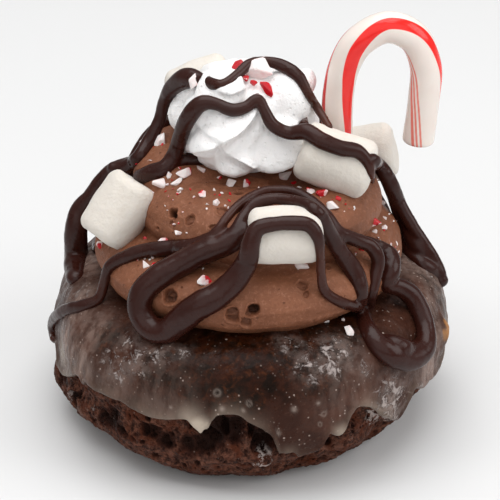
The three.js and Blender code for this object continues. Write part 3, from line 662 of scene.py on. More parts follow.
def first_hit(trees, eye, direction):
    """The distance, point and normal of what a line meets first, and which tree it belongs to, or None."""
    best = None
    for index, tree in enumerate(trees):
        point, normal, _, distance = tree.ray_cast(Vector(eye), Vector(direction))
        if point is not None and (best is None or distance < best[0]):
            best = (distance, np.array(point), np.array(normal), index)
    return best


def surface_at(tree, azimuth, x, y):
    """Where a line of sight meets a surface, or else passes the cream's centre, and the line's direction."""
    eye, direction = sight_line(azimuth, x, y)
    hit = first_hit([tree], eye, direction)
    return hit[1] if hit else eye + direction * np.dot(CREAM_CENTRE - eye, direction), direction


def places(tree, features):
    """Puts features drawn by pixel onto a surface: each becomes its point and its other numbers."""
    found = []
    for x, y, *rest in features:
        hit = first_hit([tree], *sight_line(FRONT, x, y))
        if hit:
            found.append((hit[1], *rest))
    return found


def nearness(points, spots):
    """How strongly each point is under some spots, each a centre, radius and strength."""
    total = np.zeros(len(points))
    for centre, radius, strength in spots:
        total = np.maximum(total, strength * bell(distances(points, centre) / radius))
    return total


# The cake ring
def plain_hem(turn):
    height = RING["hem"] + 1.1 * np.sin(2 * turn + 0.4) + 0.8 * np.sin(5 * turn + 1.7)
    for direction, length, half_width in GLAZE_RUNS:
        height = height - length * bell(turn_between(turn, direction) / half_width)
    return height


def ring_points(turn, around, hem):
    """Points of the ring for arrays of its turn and the angle round its section, with its glaze's hem."""
    across, up = np.cos(around), np.sin(around)
    power = 2 / np.where(up > 0, RING["top_squareness"], RING["base_squareness"])
    half_width = (RING["outer"] - RING["hole"]) / 2
    half_height = np.where(up > 0, RING["height"] - RING["waist"], RING["waist"] + RING["flatten"])
    radius = RING["hole"] + half_width + half_width * signed_power(across, power)
    z = RING["waist"] + half_height * signed_power(up, power)
    outer = smooth(across, -0.1, 0.5)
    below = hem - z
    lump = 0.45 * np.sin(3 * turn + 0.6) + 0.3 * np.sin(5 * turn - 1.1 + z / 9)
    lump = lump + 0.25 * np.sin(9 * turn + z / 4)
    recess = RING["crumb_depth"] * (1 + 0.75 * np.cos(turn - math.radians(RING["deepest_crumb"])))
    crumb = smooth(below, 0, 1.4) * (1 - 0.9 * smooth(below, 4, 11))
    crag = 0.5 * np.sin(9 * turn + z / 2.1) * np.sin(6 * turn - z / 1.5) * smooth(below, 0, 3)
    for swell in SWELLS:
        near = bell(turn_between(turn, swell["direction"]) / swell["spread"])
        radius = radius + outer * swell["out"] * near * bell((z - swell["z"]) / swell["high"])
    thick = np.sqrt(1 - (1 - np.clip(-below / 0.55, 0, 1)) ** 2)
    lip = 0.35 * bell((below + 0.9) / 0.8) * thick
    radius = radius + outer * (lump + crag + lip - recess * crumb + RING["glaze"] * thick)
    z = z + 0.5 * np.sin(4 * turn + 1) * np.maximum(0, up)
    lean = RING["lean"] * outer * smooth(RING["waist"] - z, 0, RING["waist"])
    return np.stack([radius * np.cos(turn) - lean, radius * np.sin(turn), np.maximum(0, z)], axis=-1)


def section_length(around):
    """The length in mm along the ring's section from the middle of its underside out to some angles."""
    table = np.linspace(-np.pi / 2, np.pi / 2, 2001)
    # A hem this low leaves no bare crumb
    line = ring_points(np.zeros_like(table), table, np.full_like(table, -9.0))
    along = np.concatenate([[0], np.cumsum(np.linalg.norm(np.diff(line, axis=0), axis=1))])
    return np.interp(around, table, along), table, along


def section_angles(hem):
    """Angles round the section for each turn, row by row, with one row all along the glaze's hem."""
    above = hem > RING["waist"]
    half_height = np.where(above, RING["height"] - RING["waist"], RING["waist"] + RING["flatten"])
    squareness = np.where(above, RING["top_squareness"], RING["base_squareness"])
    hem_angle = np.arcsin(np.clip(signed_power((hem - RING["waist"]) / half_height, squareness / 2), -1, 1))
    at_hem, table, along = section_length(hem_angle)
    below = at_hem[:, None] * np.arange(CRUMB_ROWS) / CRUMB_ROWS
    lip = at_hem[:, None] + np.array(LIP_HEIGHTS)
    start = lip[:, -1:]
    above = start + (along[-1] - start) * (np.arange(GLAZE_ROWS) + 1) / GLAZE_ROWS
    outer = np.interp(np.hstack([below, lip, above]), along, table)
    inner = np.pi / 2 + np.pi * (np.arange(INNER_ROWS) + 1) / (INNER_ROWS + 1)
    return np.hstack([outer, np.broadcast_to(inner, (len(hem), INNER_ROWS))])


def hem_line(turn, tree):
    """The height of the glaze's hem: as it shows across the front, and by rule round the back."""
    seen = []
    for x, y in curve_through(HEM, count=5):
        hit = first_hit([tree], *sight_line(FRONT, x, y))
        if hit:
            seen.append((math.degrees(math.atan2(hit[1][1], hit[1][0])), hit[1][2]))
    seen.sort()
    angles, heights = np.array(seen).T
    degrees = np.degrees(np.arctan2(np.sin(turn), np.cos(turn)))
    drawn = np.interp(degrees, angles, heights)
    in_front = smooth(degrees, angles[0], angles[0] + 8) * (1 - smooth(degrees, angles[-1] - 8, angles[-1]))
    ragged = 0.5 * np.sin(17 * turn) + 0.4 * np.sin(29 * turn + 1) + 0.25 * np.sin(53 * turn)
    return in_front * (drawn + 0.2 * ragged) + (1 - in_front) * (plain_hem(turn) + ragged)


def ring_guide(turns, edge):
    """The ring's plain form with a given hem, for placing features on it."""
    angles = np.radians(np.arange(-90, 270, 3))
    turn, angle = (grid.ravel() for grid in np.meshgrid(turns, angles, indexing="ij"))
    points = ring_points(turn, angle, np.repeat(edge, len(angles)))
    return tree_round(points, grid_faces(len(turns), len(angles)))


def crumb_relief(points):
    """The height in mm of torn crumb, and how deep in a pore each point lies, from 0 to 1."""
    uneven = warped(points, 1.5, 0.6, 201)
    depth = np.zeros(len(points))
    for size, smallest, largest, seed in PORES:
        away, mark = scattered(uneven, size, seed)
        radius = smallest + (largest - smallest) * mark ** 2
        depth = np.maximum(depth, 1.5 * radius * (1 - smooth(away / radius, 0.3, 1.0)))
    granule, _ = scattered(uneven, 0.85, 35)
    height = 0.55 * rough_noise(points, 4.6, 3, 21) + 0.4 * (0.45 - granule) - depth
    return height, np.clip(depth / 1.1, 0, 1)


def glaze_marks(points, tree):
    """The relief in mm of bubbles and white blobs in the glaze, and how white they make each point."""
    relief = np.zeros(len(points))
    blobs = places(tree, WHITE_SPOTS)
    white = nearness(points, [(centre, radius * 0.8, 1.0) for centre, radius in blobs])
    for centre, radius in blobs:
        relief += 0.18 * bell(distances(points, centre) / radius)
    for centre, radius in places(tree, BUBBLES):
        away = distances(points, centre) / radius
        relief += 0.1 * bell((away - 1) / 0.35) - 0.25 * bell(away / 0.7)
        white = np.maximum(white, 0.5 * bell((away - 1) / 0.4))
    return relief, white


def roughen_ring(piece, tree, turn, angle, hem, glazed):
    """Gives the ring its relief, and paints what its two materials read."""
    points, normals = vertices_of(piece)
    behind = smooth(turn_between(turn, 90), -110, -80) * (1 - smooth(turn_between(turn, 90), 80, 110))

    def marked(features, at=points):
        return nearness(at, places(tree, features))

    def patches_behind(size, seed, low, high):
        return behind * smooth(rough_noise(points, size, 2, seed), low, high)

    from_hem = np.abs(hem - points[:, 2])
    torn, pore = crumb_relief(points)
    deep = marked(CAVITIES, warped(points, 2.2, 0.7, 211))
    deep = deep * (1 - np.minimum(1, 1.2 * marked(CRUMB_COLUMN)))
    crumbly = smooth(from_hem, 0, 0.7) * torn - smooth(from_hem, 0, 0.4) * 1.7 * deep
    dry = np.maximum(marked(DRY_GLAZE), patches_behind(14, 51, 0.18, 0.5))
    marks, white = glaze_marks(points, tree)
    waves = marks + dry * 0.16 * rough_noise(points, 1.6, 3, 61)
    for size, height, seed in GLAZE_WAVES:
        waves += height * soft_noise(points, size, seed)
    wall = smooth(np.cos(angle), -0.25, 0.2) * smooth(points[:, 2], 0.2, 1.4)
    lumps = marked(LUMPS, warped(points, 2.0, 0.9, 214))
    relief = wall * (glazed * waves + (1 - glazed) * crumbly) + lumps
    moved = points + normals * relief[:, None]
    moved[:, 2] = np.maximum(moved[:, 2], 0)
    move_vertices(piece, moved)
    film = 0.4 * np.exp(-from_hem / 1.6) * smooth(rough_noise(points, 9, 2, 63), -0.5, 0.4)
    paint(piece, dry=dry, spots=white,
          bare=np.maximum(marked(BARE_CAKE), patches_behind(20, 71, 0.0, 0.45)),
          # Painted sheen at the glaze's left and right edges, and a thick sugar film in patches round the
          # back.
          pale=np.maximum(marked(PALE_FILM_AND_SHEEN), 0.7 * patches_behind(17, 73, -0.1, 0.5)),
          milky=np.clip(np.maximum(marked(MILKY_GLAZE), film) * glazed, 0, 1),
          # Painted shade in the crumb's pores and cavities, darker the deeper they go.
          cavity=np.clip(pore + 1.3 * deep, 0, 1),
          # torn is the crumb's height: it paints light on the raised crumb.
          torn=np.clip(0.5 + torn, 0, 1),
          # Painted amber glints.
          amber=marked(AMBER_GLINTS, warped(points, 1.4, 1.1, 213)))


def cake_ring():
    turns = 2 * np.pi * np.arange(RING_TURNS) / RING_TURNS
    edge = plain_hem(turns)
    for _ in range(HEM_FITTINGS):
        tree = ring_guide(turns[::4], edge[::4])
        edge = hem_line(turns, tree)
    angles = section_angles(edge)
    rows = angles.shape[1]
    turn, angle, hem = np.repeat(turns, rows), angles.ravel(), np.repeat(edge, rows)
    row = np.tile(np.arange(rows), RING_TURNS)
    glazed = (row >= CRUMB_ROWS) & (row < rows - INNER_ROWS)
    faces = grid_faces(RING_TURNS, rows)[:, ::-1]
    piece = new_piece("cake_ring_fine", ring_points(turn, angle, hem), faces)
    piece.data.polygons.foreach_set("material_index", glazed.astype(np.int32))
    roughen_ring(piece, tree, turn, angle, hem, glazed.astype(float))
    return piece


# The frosting
def coil_centres(turns):
    """Centre points of the frosting's rope after an array of turns."""
    climb = smooth(turns, *COIL_CLIMBS)[:, None]
    crown = smooth(turns, *COIL_CROWNS)[:, None]
    close = smooth(turns, *COIL_CLOSES)[:, None]
    rising = np.array(COIL_LOW) * (1 - climb) + np.array(COIL_HIGH) * climb
    crowned = rising * (1 - crown) + np.array(COIL_CROWN) * crown
    radius, height, shift = (crowned * (1 - close) + np.array(COIL_END) * close).T
    angle = math.radians(COIL_START) + 2 * np.pi * turns
    return np.stack([shift + radius * np.cos(angle), radius * np.sin(angle), height], axis=1)


def rope_stretches(turns, centres):
    """The rope as tubes that overlap, each a little narrower at its ends."""
    size = 1 - 0.25 * smooth(turns, *ROPE_NARROWS)
    found = []
    for start, end in ROPE_STRETCHES:
        chosen = (turns >= start - 0.001) & (turns <= end + 0.001)
        up = np.broadcast_to((0, 0, 1), (chosen.sum(), 3))
        from_end = np.minimum(turns[chosen] - start, end - turns[chosen]) / (end - start)
        fade = size[chosen] * np.minimum(1, 0.95 + 0.6 * from_end)
        found.append(tube(centres[chosen], up, COIL_HALF_WIDTH * fade, COIL_HALF_HEIGHT * fade, ROPE_CORNERS))
    return found


def rope_relief(points, turns, centres):
    """The height in mm of streaks along the rope, of unevenness and of grain."""
    tall = np.array([1, 1, 1.4])
    nearest = nearest_of(centres * tall, points * tall)
    outward = unit(centres[nearest] * np.array([1, 1, 0]) + 1e-6)
    away = points - centres[nearest]
    across = np.sum(away * outward, axis=1)
    section = np.arctan2(away[:, 2] / COIL_HALF_HEIGHT, across / COIL_HALF_WIDTH)
    rope = np.stack([9 * section, 18 * turns[nearest], np.zeros(len(points))], axis=1)
    streaks = 0.15 * soft_noise(rope, 1.1, 3) + 0.2 * soft_noise(rope, 2.6, 4)
    uneven = 0.55 * soft_noise(points, 10, 5) + 0.2 * soft_noise(points, 4.5, 6)
    return streaks + uneven + 0.07 * rough_noise(points, 1.1, 2, 9)


def pit_depth(points, spots):
    """How deep in mm each point lies in a pit or a small hole left by air. Pits have raised rims."""
    ragged = warped(points, 1.3, 0.35, 7)
    pits = np.zeros(len(points))
    rims = np.zeros(len(points))
    for centre, radius, depth in spots:
        away = distances(ragged, centre) / radius
        pits = np.maximum(pits, 1.6 * depth * (1 - smooth(away, 0.72, 0.98)))
        rims = np.maximum(rims, 0.14 * bell((away - 1.15) / 0.14))
    hole, mark = scattered(points, *AIR_HOLES)
    small = (mark > HOLE_MARK) * 0.7 * (1 - smooth(hole / (0.1 + 0.45 * mark), 0.6, 1.0))
    return np.maximum(pits, small) * (1 + 0.25 * soft_noise(points, 0.8, 10)) - rims


def frosting():
    turns = np.linspace(0, COIL_TURNS, 500)
    centres = coil_centres(turns)
    middle = [COIL_MIDDLE[0], *curve_through(COIL_MIDDLE[1:-1], count=6).tolist(), COIL_MIDDLE[-1]]
    parts = [*rope_stretches(turns, centres), lathe(middle, ROPE_CORNERS)]
    piece = fused("frosting_fine", parts, voxel=0.34, smoothing=4)
    spots = places(tree_of(piece), PITS)
    points, _ = vertices_of(piece)
    hole, mark = scattered(points, *AIR_HOLES)
    near = (mark > HOLE_MARK) & (hole < 0.5 + 0.45 * mark)
    for centre, radius, _ in spots:
        near |= distances(points, centre) < 1.5 * radius + 0.4
    refine(piece, near, cuts=2)
    points, normals = vertices_of(piece)
    depth = pit_depth(points, spots)
    relief = rope_relief(points, turns, centres) - depth
    move_vertices(piece, points + normals * relief[:, None])
    # The pit number is painted shade: the pits are coloured darker the deeper they go, where shade falls in
    # them.
    paint(piece, pit=np.clip((depth - 0.15) / 1.9, 0, 1))
    return piece


# The whipped cream
def cream_points(turn, down):
    """Points of the dome, by the turn round it and the angle down from its top."""
    level, spread = np.cos(down), np.sin(down)
    phase = CREAM["lobes"] * (turn + CREAM["twist"] * level)
    bulge = np.abs(np.sin(phase / 2 + 0.3 * np.cos(phase))) ** 0.75
    uneven = 1 + 0.04 * np.sin(2 * turn + 1) + 0.03 * np.sin(3 * turn + 2.2)
    shape = spread ** (2 / np.where(level > 0, CREAM["squareness"], CREAM["base_squareness"]))
    fold = 1 - CREAM["lobe_depth"] * (1 - bulge) * (0.35 + 0.65 * spread)
    radius = CREAM["radius"] * shape * fold * uneven
    height = np.where(level > 0, CREAM["height"], CREAM["underside"])
    height = height * signed_power(level, 2 / CREAM["squareness"]) * (1 - 0.14 * (1 - bulge) * spread)
    local = [radius * np.cos(turn), radius * np.sin(turn), height]
    return CREAM_CENTRE + np.stack(local, axis=-1)


def cream_dome():
    """The dome under the lobes. It draws in at the left of the front, where the lobes stand alone."""
    rows, columns = 60, 200
    down = np.pi * (np.arange(rows) + 0.5) / rows
    turn = 2 * np.pi * np.arange(columns) / columns
    grid_down, grid_turn = (grid.ravel() for grid in np.meshgrid(down, turn, indexing="ij"))
    around = np.append(grid_turn, [0, 0])
    points = cream_points(around, np.append(grid_down, [1e-4, np.pi - 1e-4]))
    drawn_in = 0.94 - 0.14 * bell(turn_between(around, 222) / 48)
    shares = np.stack([drawn_in, drawn_in, np.full(len(points), 0.94)], axis=1)
    faces = [face[::-1] for face in tipped_faces(rows, columns)]
    return CREAM_CENTRE + (points - CREAM_CENTRE) * shares, faces


def lobe(view, at, half, sink, roll, tree):
    """A rounded lobe of cream set into the dome where it shows in a view."""
    surface, direction = surface_at(tree, view, *at)
    points, faces = ball(rows=24, columns=40)
    return points * half @ np.array(rolled_axes(view, roll)) + surface + direction * sink, faces


def lapped(points, normals):
    """How far each point of the cream stands out so that its folds lap over each other in the front view."""
    _, up, back = view_axes(FRONT)
    seen = pixels_of(points)
    facing = smooth(normals @ back, -0.05, 0.3) * smooth((points - CREAM_CENTRE) @ back, -4, 0)
    height = np.zeros(len(points))
    groove = np.zeros(len(points))
    for edge in FOLD_EDGES:
        line = evenly(curve_through(edge, count=12), 1.0, axes=2)
        tangents = unit(np.gradient(line[:, :2], axis=0))
        away = seen[:, None, :] - line[None, :, :2]
        nearest = np.argmin(np.sum(away ** 2, axis=2), axis=1)
        offset = away[np.arange(len(points)), nearest] / SIGHT["pixels_per_mm"]
        along = tangents[nearest]
        side = along[:, 1] * offset[:, 0] - along[:, 0] * offset[:, 1]
        distance = np.linalg.norm(offset, axis=1)
        above = np.clip(1 - distance / FOLD_SLOPE, 0, 1) ** 1.6
        below = 1 - smooth(distance, 0, FOLD_DROP)
        high = 1.25 * line[nearest, 2] * (1 + 0.08 * soft_noise(points, 1.3, 86))
        height = np.maximum(height, high * np.where(side > 0, above, below))
        cut = 0.55 * high * bell((distance - 1.2) / 0.7)
        groove = np.maximum(groove, np.where(side > 0, 0, cut))
    return (facing * (height - groove))[:, None] * (0.92 * back - 0.38 * up)


def peak(drawn, tree):
    """A peak of cream that stands up from the dome, as deep in the view as its foot."""
    _, _, back = view_axes(FRONT)
    line = curve_through(drawn, count=8)
    eye, direction = sight_line(FRONT, *line[0, :2])
    foot = first_hit([tree], eye, direction)[1]
    depth = (foot - eye) @ -back
    centres = []
    for x, y, _ in line:
        eye, direction = sight_line(FRONT, x, y)
        centres.append(eye + direction * depth / (direction @ -back))
    centres = np.array(centres) - back * 0.6
    return tube(centres, np.broadcast_to(back, centres.shape), line[:, 2], line[:, 2] * 0.8, corners=20)


def whipped_cream(with_peaks):
    dome = cream_dome()
    tree = tree_round(*dome)
    parts = [dome] + [lobe(*spec, tree) for spec in LOBES]
    if with_peaks:
        parts.extend(peak(drawn, tree) for drawn in PEAKS)
    piece = fused("whipped_cream_fine", parts, voxel=0.35, smoothing=2)
    points, normals = vertices_of(piece)
    move_vertices(piece, points + lapped(points, normals))
    reskin(piece, voxel=0.3, smoothing=2)
    points, normals = vertices_of(piece)
    hole, mark = scattered(points, 1.7, 81)
    pores = (mark > 0.5) * 0.14 * (1 - smooth(hole / 0.4, 0.4, 1.0))
    ragged = nearness(points, places(tree_of(piece), RAGGED_CREAM)) * 0.55 * rough_noise(points, 1.6, 2, 84)
    relief = 0.05 * soft_noise(points, 2.4, 82) + 0.09 * rough_noise(points, 0.9, 2, 83) - pores + ragged
    move_vertices(piece, points + normals * relief[:, None])
    return piece


# Marshmallows and the candy cane
def marshmallow(name, at, axis, stretch, thick=1.0):
    half = MARSHMALLOW["length"] * stretch / 2
    radius, corner = MARSHMALLOW["radius"] * thick, MARSHMALLOW["corner"]
    flat = radius - corner
    floor = [(r, -half) for r in np.linspace(0, flat, 9)[:-1]]
    bends = np.radians(np.linspace(-90, 0, 12))
    rounded = [(flat + corner * math.cos(a), corner - half + corner * math.sin(a)) for a in bends]
    wall = [(radius, z) for z in np.linspace(corner - half, 0, 14)[1:-1]]
    lower = floor + rounded + wall
    points, faces = lathe(lower + [(radius, 0)] + [(r, -z) for r, z in lower[::-1]], corners=80)
    bulge = 0.22 * np.cos(np.pi * np.clip(points[:, 2] / half, -1, 1) / 2)
    points = points + unit(points * np.array([1, 1, 0.0]) + 1e-9) * bulge[:, None]
    # Each has its own dents, because the noise is taken from another place for each name
    shifted = points + np.array([sum(ord(letter) for letter in name), 0, 0])
    dents = 0.34 * soft_noise(shifted, 6, 90) + 0.12 * soft_noise(shifted, 2.8, 91)
    points = points * (1 + dents / radius)[:, None]
    ends = np.clip(np.abs(points[:, 2]) / half, 0, 1) ** 6
    reach = np.linalg.norm(points[:, :2], axis=1)
    points[:, 2] -= np.sign(points[:, 2]) * ends * 0.28 * (1 - smooth(reach, 0, radius - 1))
    tilt = Vector((0, 0, 1)).rotation_difference(Vector(axis).normalized()).to_matrix()
    return new_piece(name + "_fine", points @ np.array(tilt).T + np.array(at), faces)


def candy_cane():
    centres = evenly(curve_through([(x, CANE_PLANE_Y, z) for x, z in CANE_LINE], count=40), 0.3)
    front = np.broadcast_to((0, -1, 0), centres.shape)
    points, faces = tube(centres, front, CANE_RADIUS, CANE_RADIUS, CANE_CORNERS, cap=0.25)
    order = ring_order(len(centres))
    middles = np.vstack([np.repeat(centres[order], CANE_CORNERS, axis=0), centres[[0, -1]]])
    uneven = 1 + 0.02 * soft_noise(points, 7, 95)
    piece = new_piece("candy_cane_fine", middles + (points - middles) * uneven[:, None], faces)
    around = np.append(np.tile(2 * np.pi * np.arange(CANE_CORNERS) / CANE_CORNERS, len(order)), [0, 0])
    along = np.append(np.repeat(np.linspace(0, 1, len(order)), CANE_CORNERS), [0, 1])
    at, turned, half_width = np.array(STRIPE_TURN).T
    # From the side that faces the front towards the hook's inner side: the stripes turn slowly outwards
    angle = np.pi / 2 - around - np.radians(np.interp(along, at, turned))
    paint(piece, stripe_cosine=np.cos(angle), stripe_sine=np.sin(angle),
          stripe_edge=np.cos(np.radians(np.interp(along, at, half_width))))
    return piece


# The drizzle
def mean_beside(values):
    """The mean of the two neighbours of each value."""
    return (np.append(values[0], values[:-1]) + np.append(values[1:], values[-1])) / 2


def draped(strand, trees):
    """The centre line, upward directions and thicknesses of a strand that has dropped onto the toppings."""
    drawn = evenly(curve_through(strand["line"], count=12), STRAND["fine"], axes=2)
    lines = [sight_line(strand.get("view", FRONT), x, y) for x, y, _ in drawn]
    hits = [first_hit(trees[:CREAM_TREE] if strand.get("under") else trees, *line) for line in lines]
    known = {index: hit[0] for index, hit in enumerate(hits) if hit}
    ends = strand.get("ends", (None, None))
    for index, distance in ((0, ends[0]), (len(drawn) - 1, ends[1])):
        if distance and index not in known:
            known[index] = distance
    keys = sorted(known)
    resting = np.interp(np.arange(len(drawn)), keys, [known[key] for key in keys])
    step = strand.get("step", STRAND["step"])
    taut = resting.copy()
    for _ in range(round(2 * (step / STRAND["fine"]) ** 2)):
        taut = np.minimum(resting, mean_beside(taut))
    for _ in range(STRAND["softening"]):
        taut = (taut + mean_beside(taut)) / 2
    from_end = np.minimum(np.arange(len(drawn)), np.arange(len(drawn))[::-1]) * STRAND["fine"]
    inward = smooth(from_end, 0, min(STRAND["end_pixels"], from_end.max() + 1))
    over = np.array([hit is not None and hit[3] >= CREAM_TREE for hit in hits])
    lift = np.where(over, STRAND["lift_over"], STRAND["lift"]) - STRAND["end_lift"]
    lift = STRAND["end_lift"] + lift * inward
    distance = resting + (taut - resting) * inward - lift * drawn[:, 2]
    eyes = np.array([eye for eye, _ in lines])
    directions = np.array([direction for _, direction in lines])
    return eyes + directions * distance[:, None], -directions, drawn[:, 2]


def drizzle(trees):
    parts, centres, sizes = [], [], []
    for strand in DRIZZLE.values():
        middles, ups, thick = draped(strand, trees)
        half = STRAND["swell"] * thick / 2
        parts.append(tube(middles, ups, half, half * 0.86, corners=20))
        centres.extend(middles)
        sizes.extend(thick)
    piece = fused("drizzle", parts, voxel=0.36, smoothing=3)
    points, normals = vertices_of(piece)
    relief = 0.1 * soft_noise(points, 3.2, 101) + 0.04 * soft_noise(points, 1.4, 102)
    move_vertices(piece, points + normals * relief[:, None])
    paint(piece, thickness=np.array(sizes)[nearest_of(centres, points)])
    return piece


# Crushed peppermint
def chip(random):
    """Points and faces of a shard that fits in a sphere of diameter 1, with flat faces as candy breaks."""
    spread = unit(random.normal(size=(10, 3))) * random.uniform(0.4, 0.6, (10, 1))
    shape = bmesh.new()
    for point in spread:
        shape.verts.new(point)
    bmesh.ops.convex_hull(shape, input=shape.verts)
    loose = [vert for vert in shape.verts if not vert.link_faces]
    bmesh.ops.delete(shape, geom=loose, context="VERTS")
    bmesh.ops.bevel(shape, geom=list(shape.edges), offset=0.035, segments=1, affect="EDGES")
    shape.verts.index_update()
    points = np.array([vert.co[:] for vert in shape.verts])
    faces = [tuple(vert.index for vert in face.verts) for face in shape.faces]
    shape.free()
    return points, faces


def tumbled(random):
    """A random turn."""
    turn = np.linalg.qr(random.normal(size=(3, 3)))[0]
    if np.linalg.det(turn) < 0:
        turn[:, 0] *= -1
    return turn


def peppermint(name, shards):
    """One mesh of shards, each a centre, a size along three directions, those directions, red and seed."""
    parts, reds = [], []
    for at, size, axes, red, seed in shards:
        random = np.random.default_rng(seed)
        points, faces = chip(random)
        side = unit(random.normal(size=3))
        parts.append(((points * size) @ axes + at, faces))
        reds.append(points @ side + (red - 0.5) * 1.5)
    piece = new_piece(name, *joined(parts))
    piece.data.shade_flat()
    paint(piece, red_side=np.concatenate(reds))
    return piece


def laid(hit, size, red, seed):
    """A shard of a size in mm that lies where a line of sight met the surface."""
    random = np.random.default_rng(seed)
    return hit[1] + hit[2] * 0.16 * size, size * np.array([1, 0.8, 0.62]), tumbled(random), red, seed


def drawn_shards(tree, drawn, seed):
    """Shards whose outline in the front view is given by width, height and roll."""
    shards = []
    for index, (x, y, wide, high, roll, red, *proud) in enumerate(drawn):
        surface, _ = surface_at(tree, FRONT, x, y)
        axes = np.array(rolled_axes(FRONT, roll))
        deep = 0.7 * min(wide, high)
        at = surface + axes[2] * (sum(proud) + 0.3 * deep)
        shards.append((at, np.array([wide, high, deep]) * 1.12, axes, red, seed + index))
    return shards


def dropped(trees, x, y):
    """Where something that drops from above lands, if it lands on the frosting."""
    hit = first_hit(trees, (x, y, DROP_HEIGHT), (0, 0, -1))
    return hit if hit and hit[3] == COIL_TREE else None


def peppermint_on_frosting(trees):
    coil = trees[COIL_TREE]
    on_coil = [spec for spec in PEPPERMINT_FRONT if first_hit([coil], *sight_line(FRONT, *spec[:2]))]
    shards = drawn_shards(coil, on_coil, seed=100)
    behind = PEPPERMINT_BEHIND
    random = np.random.default_rng(behind["seed"])
    for index in range(behind["count"]):
        turn = np.pi * random.uniform(-0.05, 1.05)
        radius = random.uniform(behind["inner"], behind["outer"])
        size = behind["smallest"] + (behind["largest"] - behind["smallest"]) * random.uniform() ** 2
        hit = dropped(trees, radius * math.cos(turn), radius * math.sin(turn))
        if hit:
            shards.append(laid(hit, 1.1 * size, random.uniform(0, 0.8), 300 + index))
    return shards


def crumbs_round(shards, trees):
    """Fine bits that broke off: a few near each shard, dropped from above onto the frosting."""
    random = np.random.default_rng(CRUMBS["seed"])
    found = []
    for index, (at, *_) in enumerate(shards):
        for number in range(CRUMBS["each"]):
            away = random.normal(scale=CRUMBS["spread"], size=2)
            hit = dropped(trees, at[0] + away[0], at[1] + away[1])
            if hit:
                size = random.uniform(CRUMBS["smallest"], CRUMBS["largest"])
                found.append(laid(hit, size, random.uniform(0, 0.9), 500 + 10 * index + number))
    return found


# Materials
def srgb(red, green, blue):
    """A colour given as it shows on a screen, from 0 to 255, as the shader needs it."""
    values = np.array([red, green, blue]) / 255
    linear = np.where(values <= 0.04045, values / 12.92, ((values + 0.055) / 1.055) ** 2.4)
    return (*linear, 1.0)


class Look:
    """A material's node tree, with the colour and the relief that it has so far."""

    def __init__(self, name):
        self.material = bpy.data.materials.new(name)
        self.material.use_nodes = True
        self.tree = self.material.node_tree
        self.shader = next(node for node in self.tree.nodes if node.type == "BSDF_PRINCIPLED")
        self.place = self.add("ShaderNodeTexCoord").outputs["Object"]
        self.colour = None
        self.normal = None

    def add(self, kind, settings=(), **inputs):
        node = self.tree.nodes.new(kind)
        for key, value in dict(settings).items():
            setattr(node, key, value)
        for key, value in inputs.items():
            self.connect(node.inputs[key.replace("_", " ")], value)
        return node

    def connect(self, socket, value):
        if isinstance(value, bpy.types.NodeSocket):
            self.tree.links.new(value, socket)
        else:
            socket.default_value = value

    def connect_all(self, node, sockets, values):
        for index, value in zip(sockets, values):
            self.connect(node.inputs[index], value)

    def set(self, **inputs):
        for key, value in inputs.items():
            self.connect(self.shader.inputs[key.replace("_", " ")], value)

    def finish(self, roughness, **inputs):
        """Gives the shader the colour and the relief, its roughness and any other values."""
        self.set(Base_Color=self.colour, Normal=self.normal, Roughness=roughness, **inputs)
        return self

    def number(self, name):
        return self.add("ShaderNodeAttribute", dict(attribute_name=name)).outputs["Fac"]

    def noise(self, size, detail=2.0, roughness=0.5, distortion=0.0, drawn_out=1.0):
        """Noise from 0 to 1 with features of a size in mm, drawn out upwards."""
        at = self.add("ShaderNodeMapping", Vector=self.place, Scale=(1, 1, 1 / drawn_out)).outputs["Vector"]
        return self.add("ShaderNodeTexNoise", Vector=at, Scale=1 / (size * MM), Detail=detail,
                        Roughness=roughness, Distortion=distortion).outputs["Fac"]

    def cells(self, size):
        """The distance to the nearest of scattered points, as a share of a size in mm."""
        node = self.add("ShaderNodeTexVoronoi", dict(feature="F1"), Vector=self.place, Scale=1 / (size * MM))
        return node.outputs["Distance"]

    def span(self, value, low, high, to_low=0.0, to_high=1.0):
        node = self.add("ShaderNodeMapRange", dict(interpolation_type="SMOOTHSTEP"))
        self.connect_all(node, range(5), (value, low, high, to_low, to_high))
        return node.outputs[0]

    def maths(self, operation, first, second):
        node = self.add("ShaderNodeMath", dict(operation=operation))
        self.connect_all(node, range(2), (first, second))
        return node.outputs[0]

    def times(self, first, second):
        return self.maths("MULTIPLY", first, second)

    def mix(self, share, first, second):
        node = self.add("ShaderNodeMix", dict(data_type="RGBA"))
        self.connect_all(node, (0, 6, 7), (share, first, second))
        return node.outputs[2]

    def blend(self, share, first, second):
        node = self.add("ShaderNodeMix", dict(data_type="FLOAT"))
        self.connect_all(node, (0, 2, 3), (share, first, second))
        return node.outputs[0]

    def base(self, share, first, second):
        """Starts the colour with a mix of two."""
        self.colour = self.mix(share, srgb(*first), srgb(*second))

    def over(self, share, colour):
        """Lays another colour over the colour so far."""
        self.colour = self.mix(share, self.colour, srgb(*colour))

    def bump(self, height, depth):
        """Adds relief of a depth in mm."""
        node = self.add("ShaderNodeBump", Height=height, Distance=depth * MM, Strength=1.0)
        if self.normal is not None:
            self.connect(node.inputs["Normal"], self.normal)
        self.normal = node.outputs["Normal"]


def dress(piece, look, node):
    """Gives a piece its material and its place in the frame, and hides the CAD part of the node that it
    stands for.
    """
    piece.data.materials.append(look.material)
    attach(piece, "root")
    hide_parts(node)


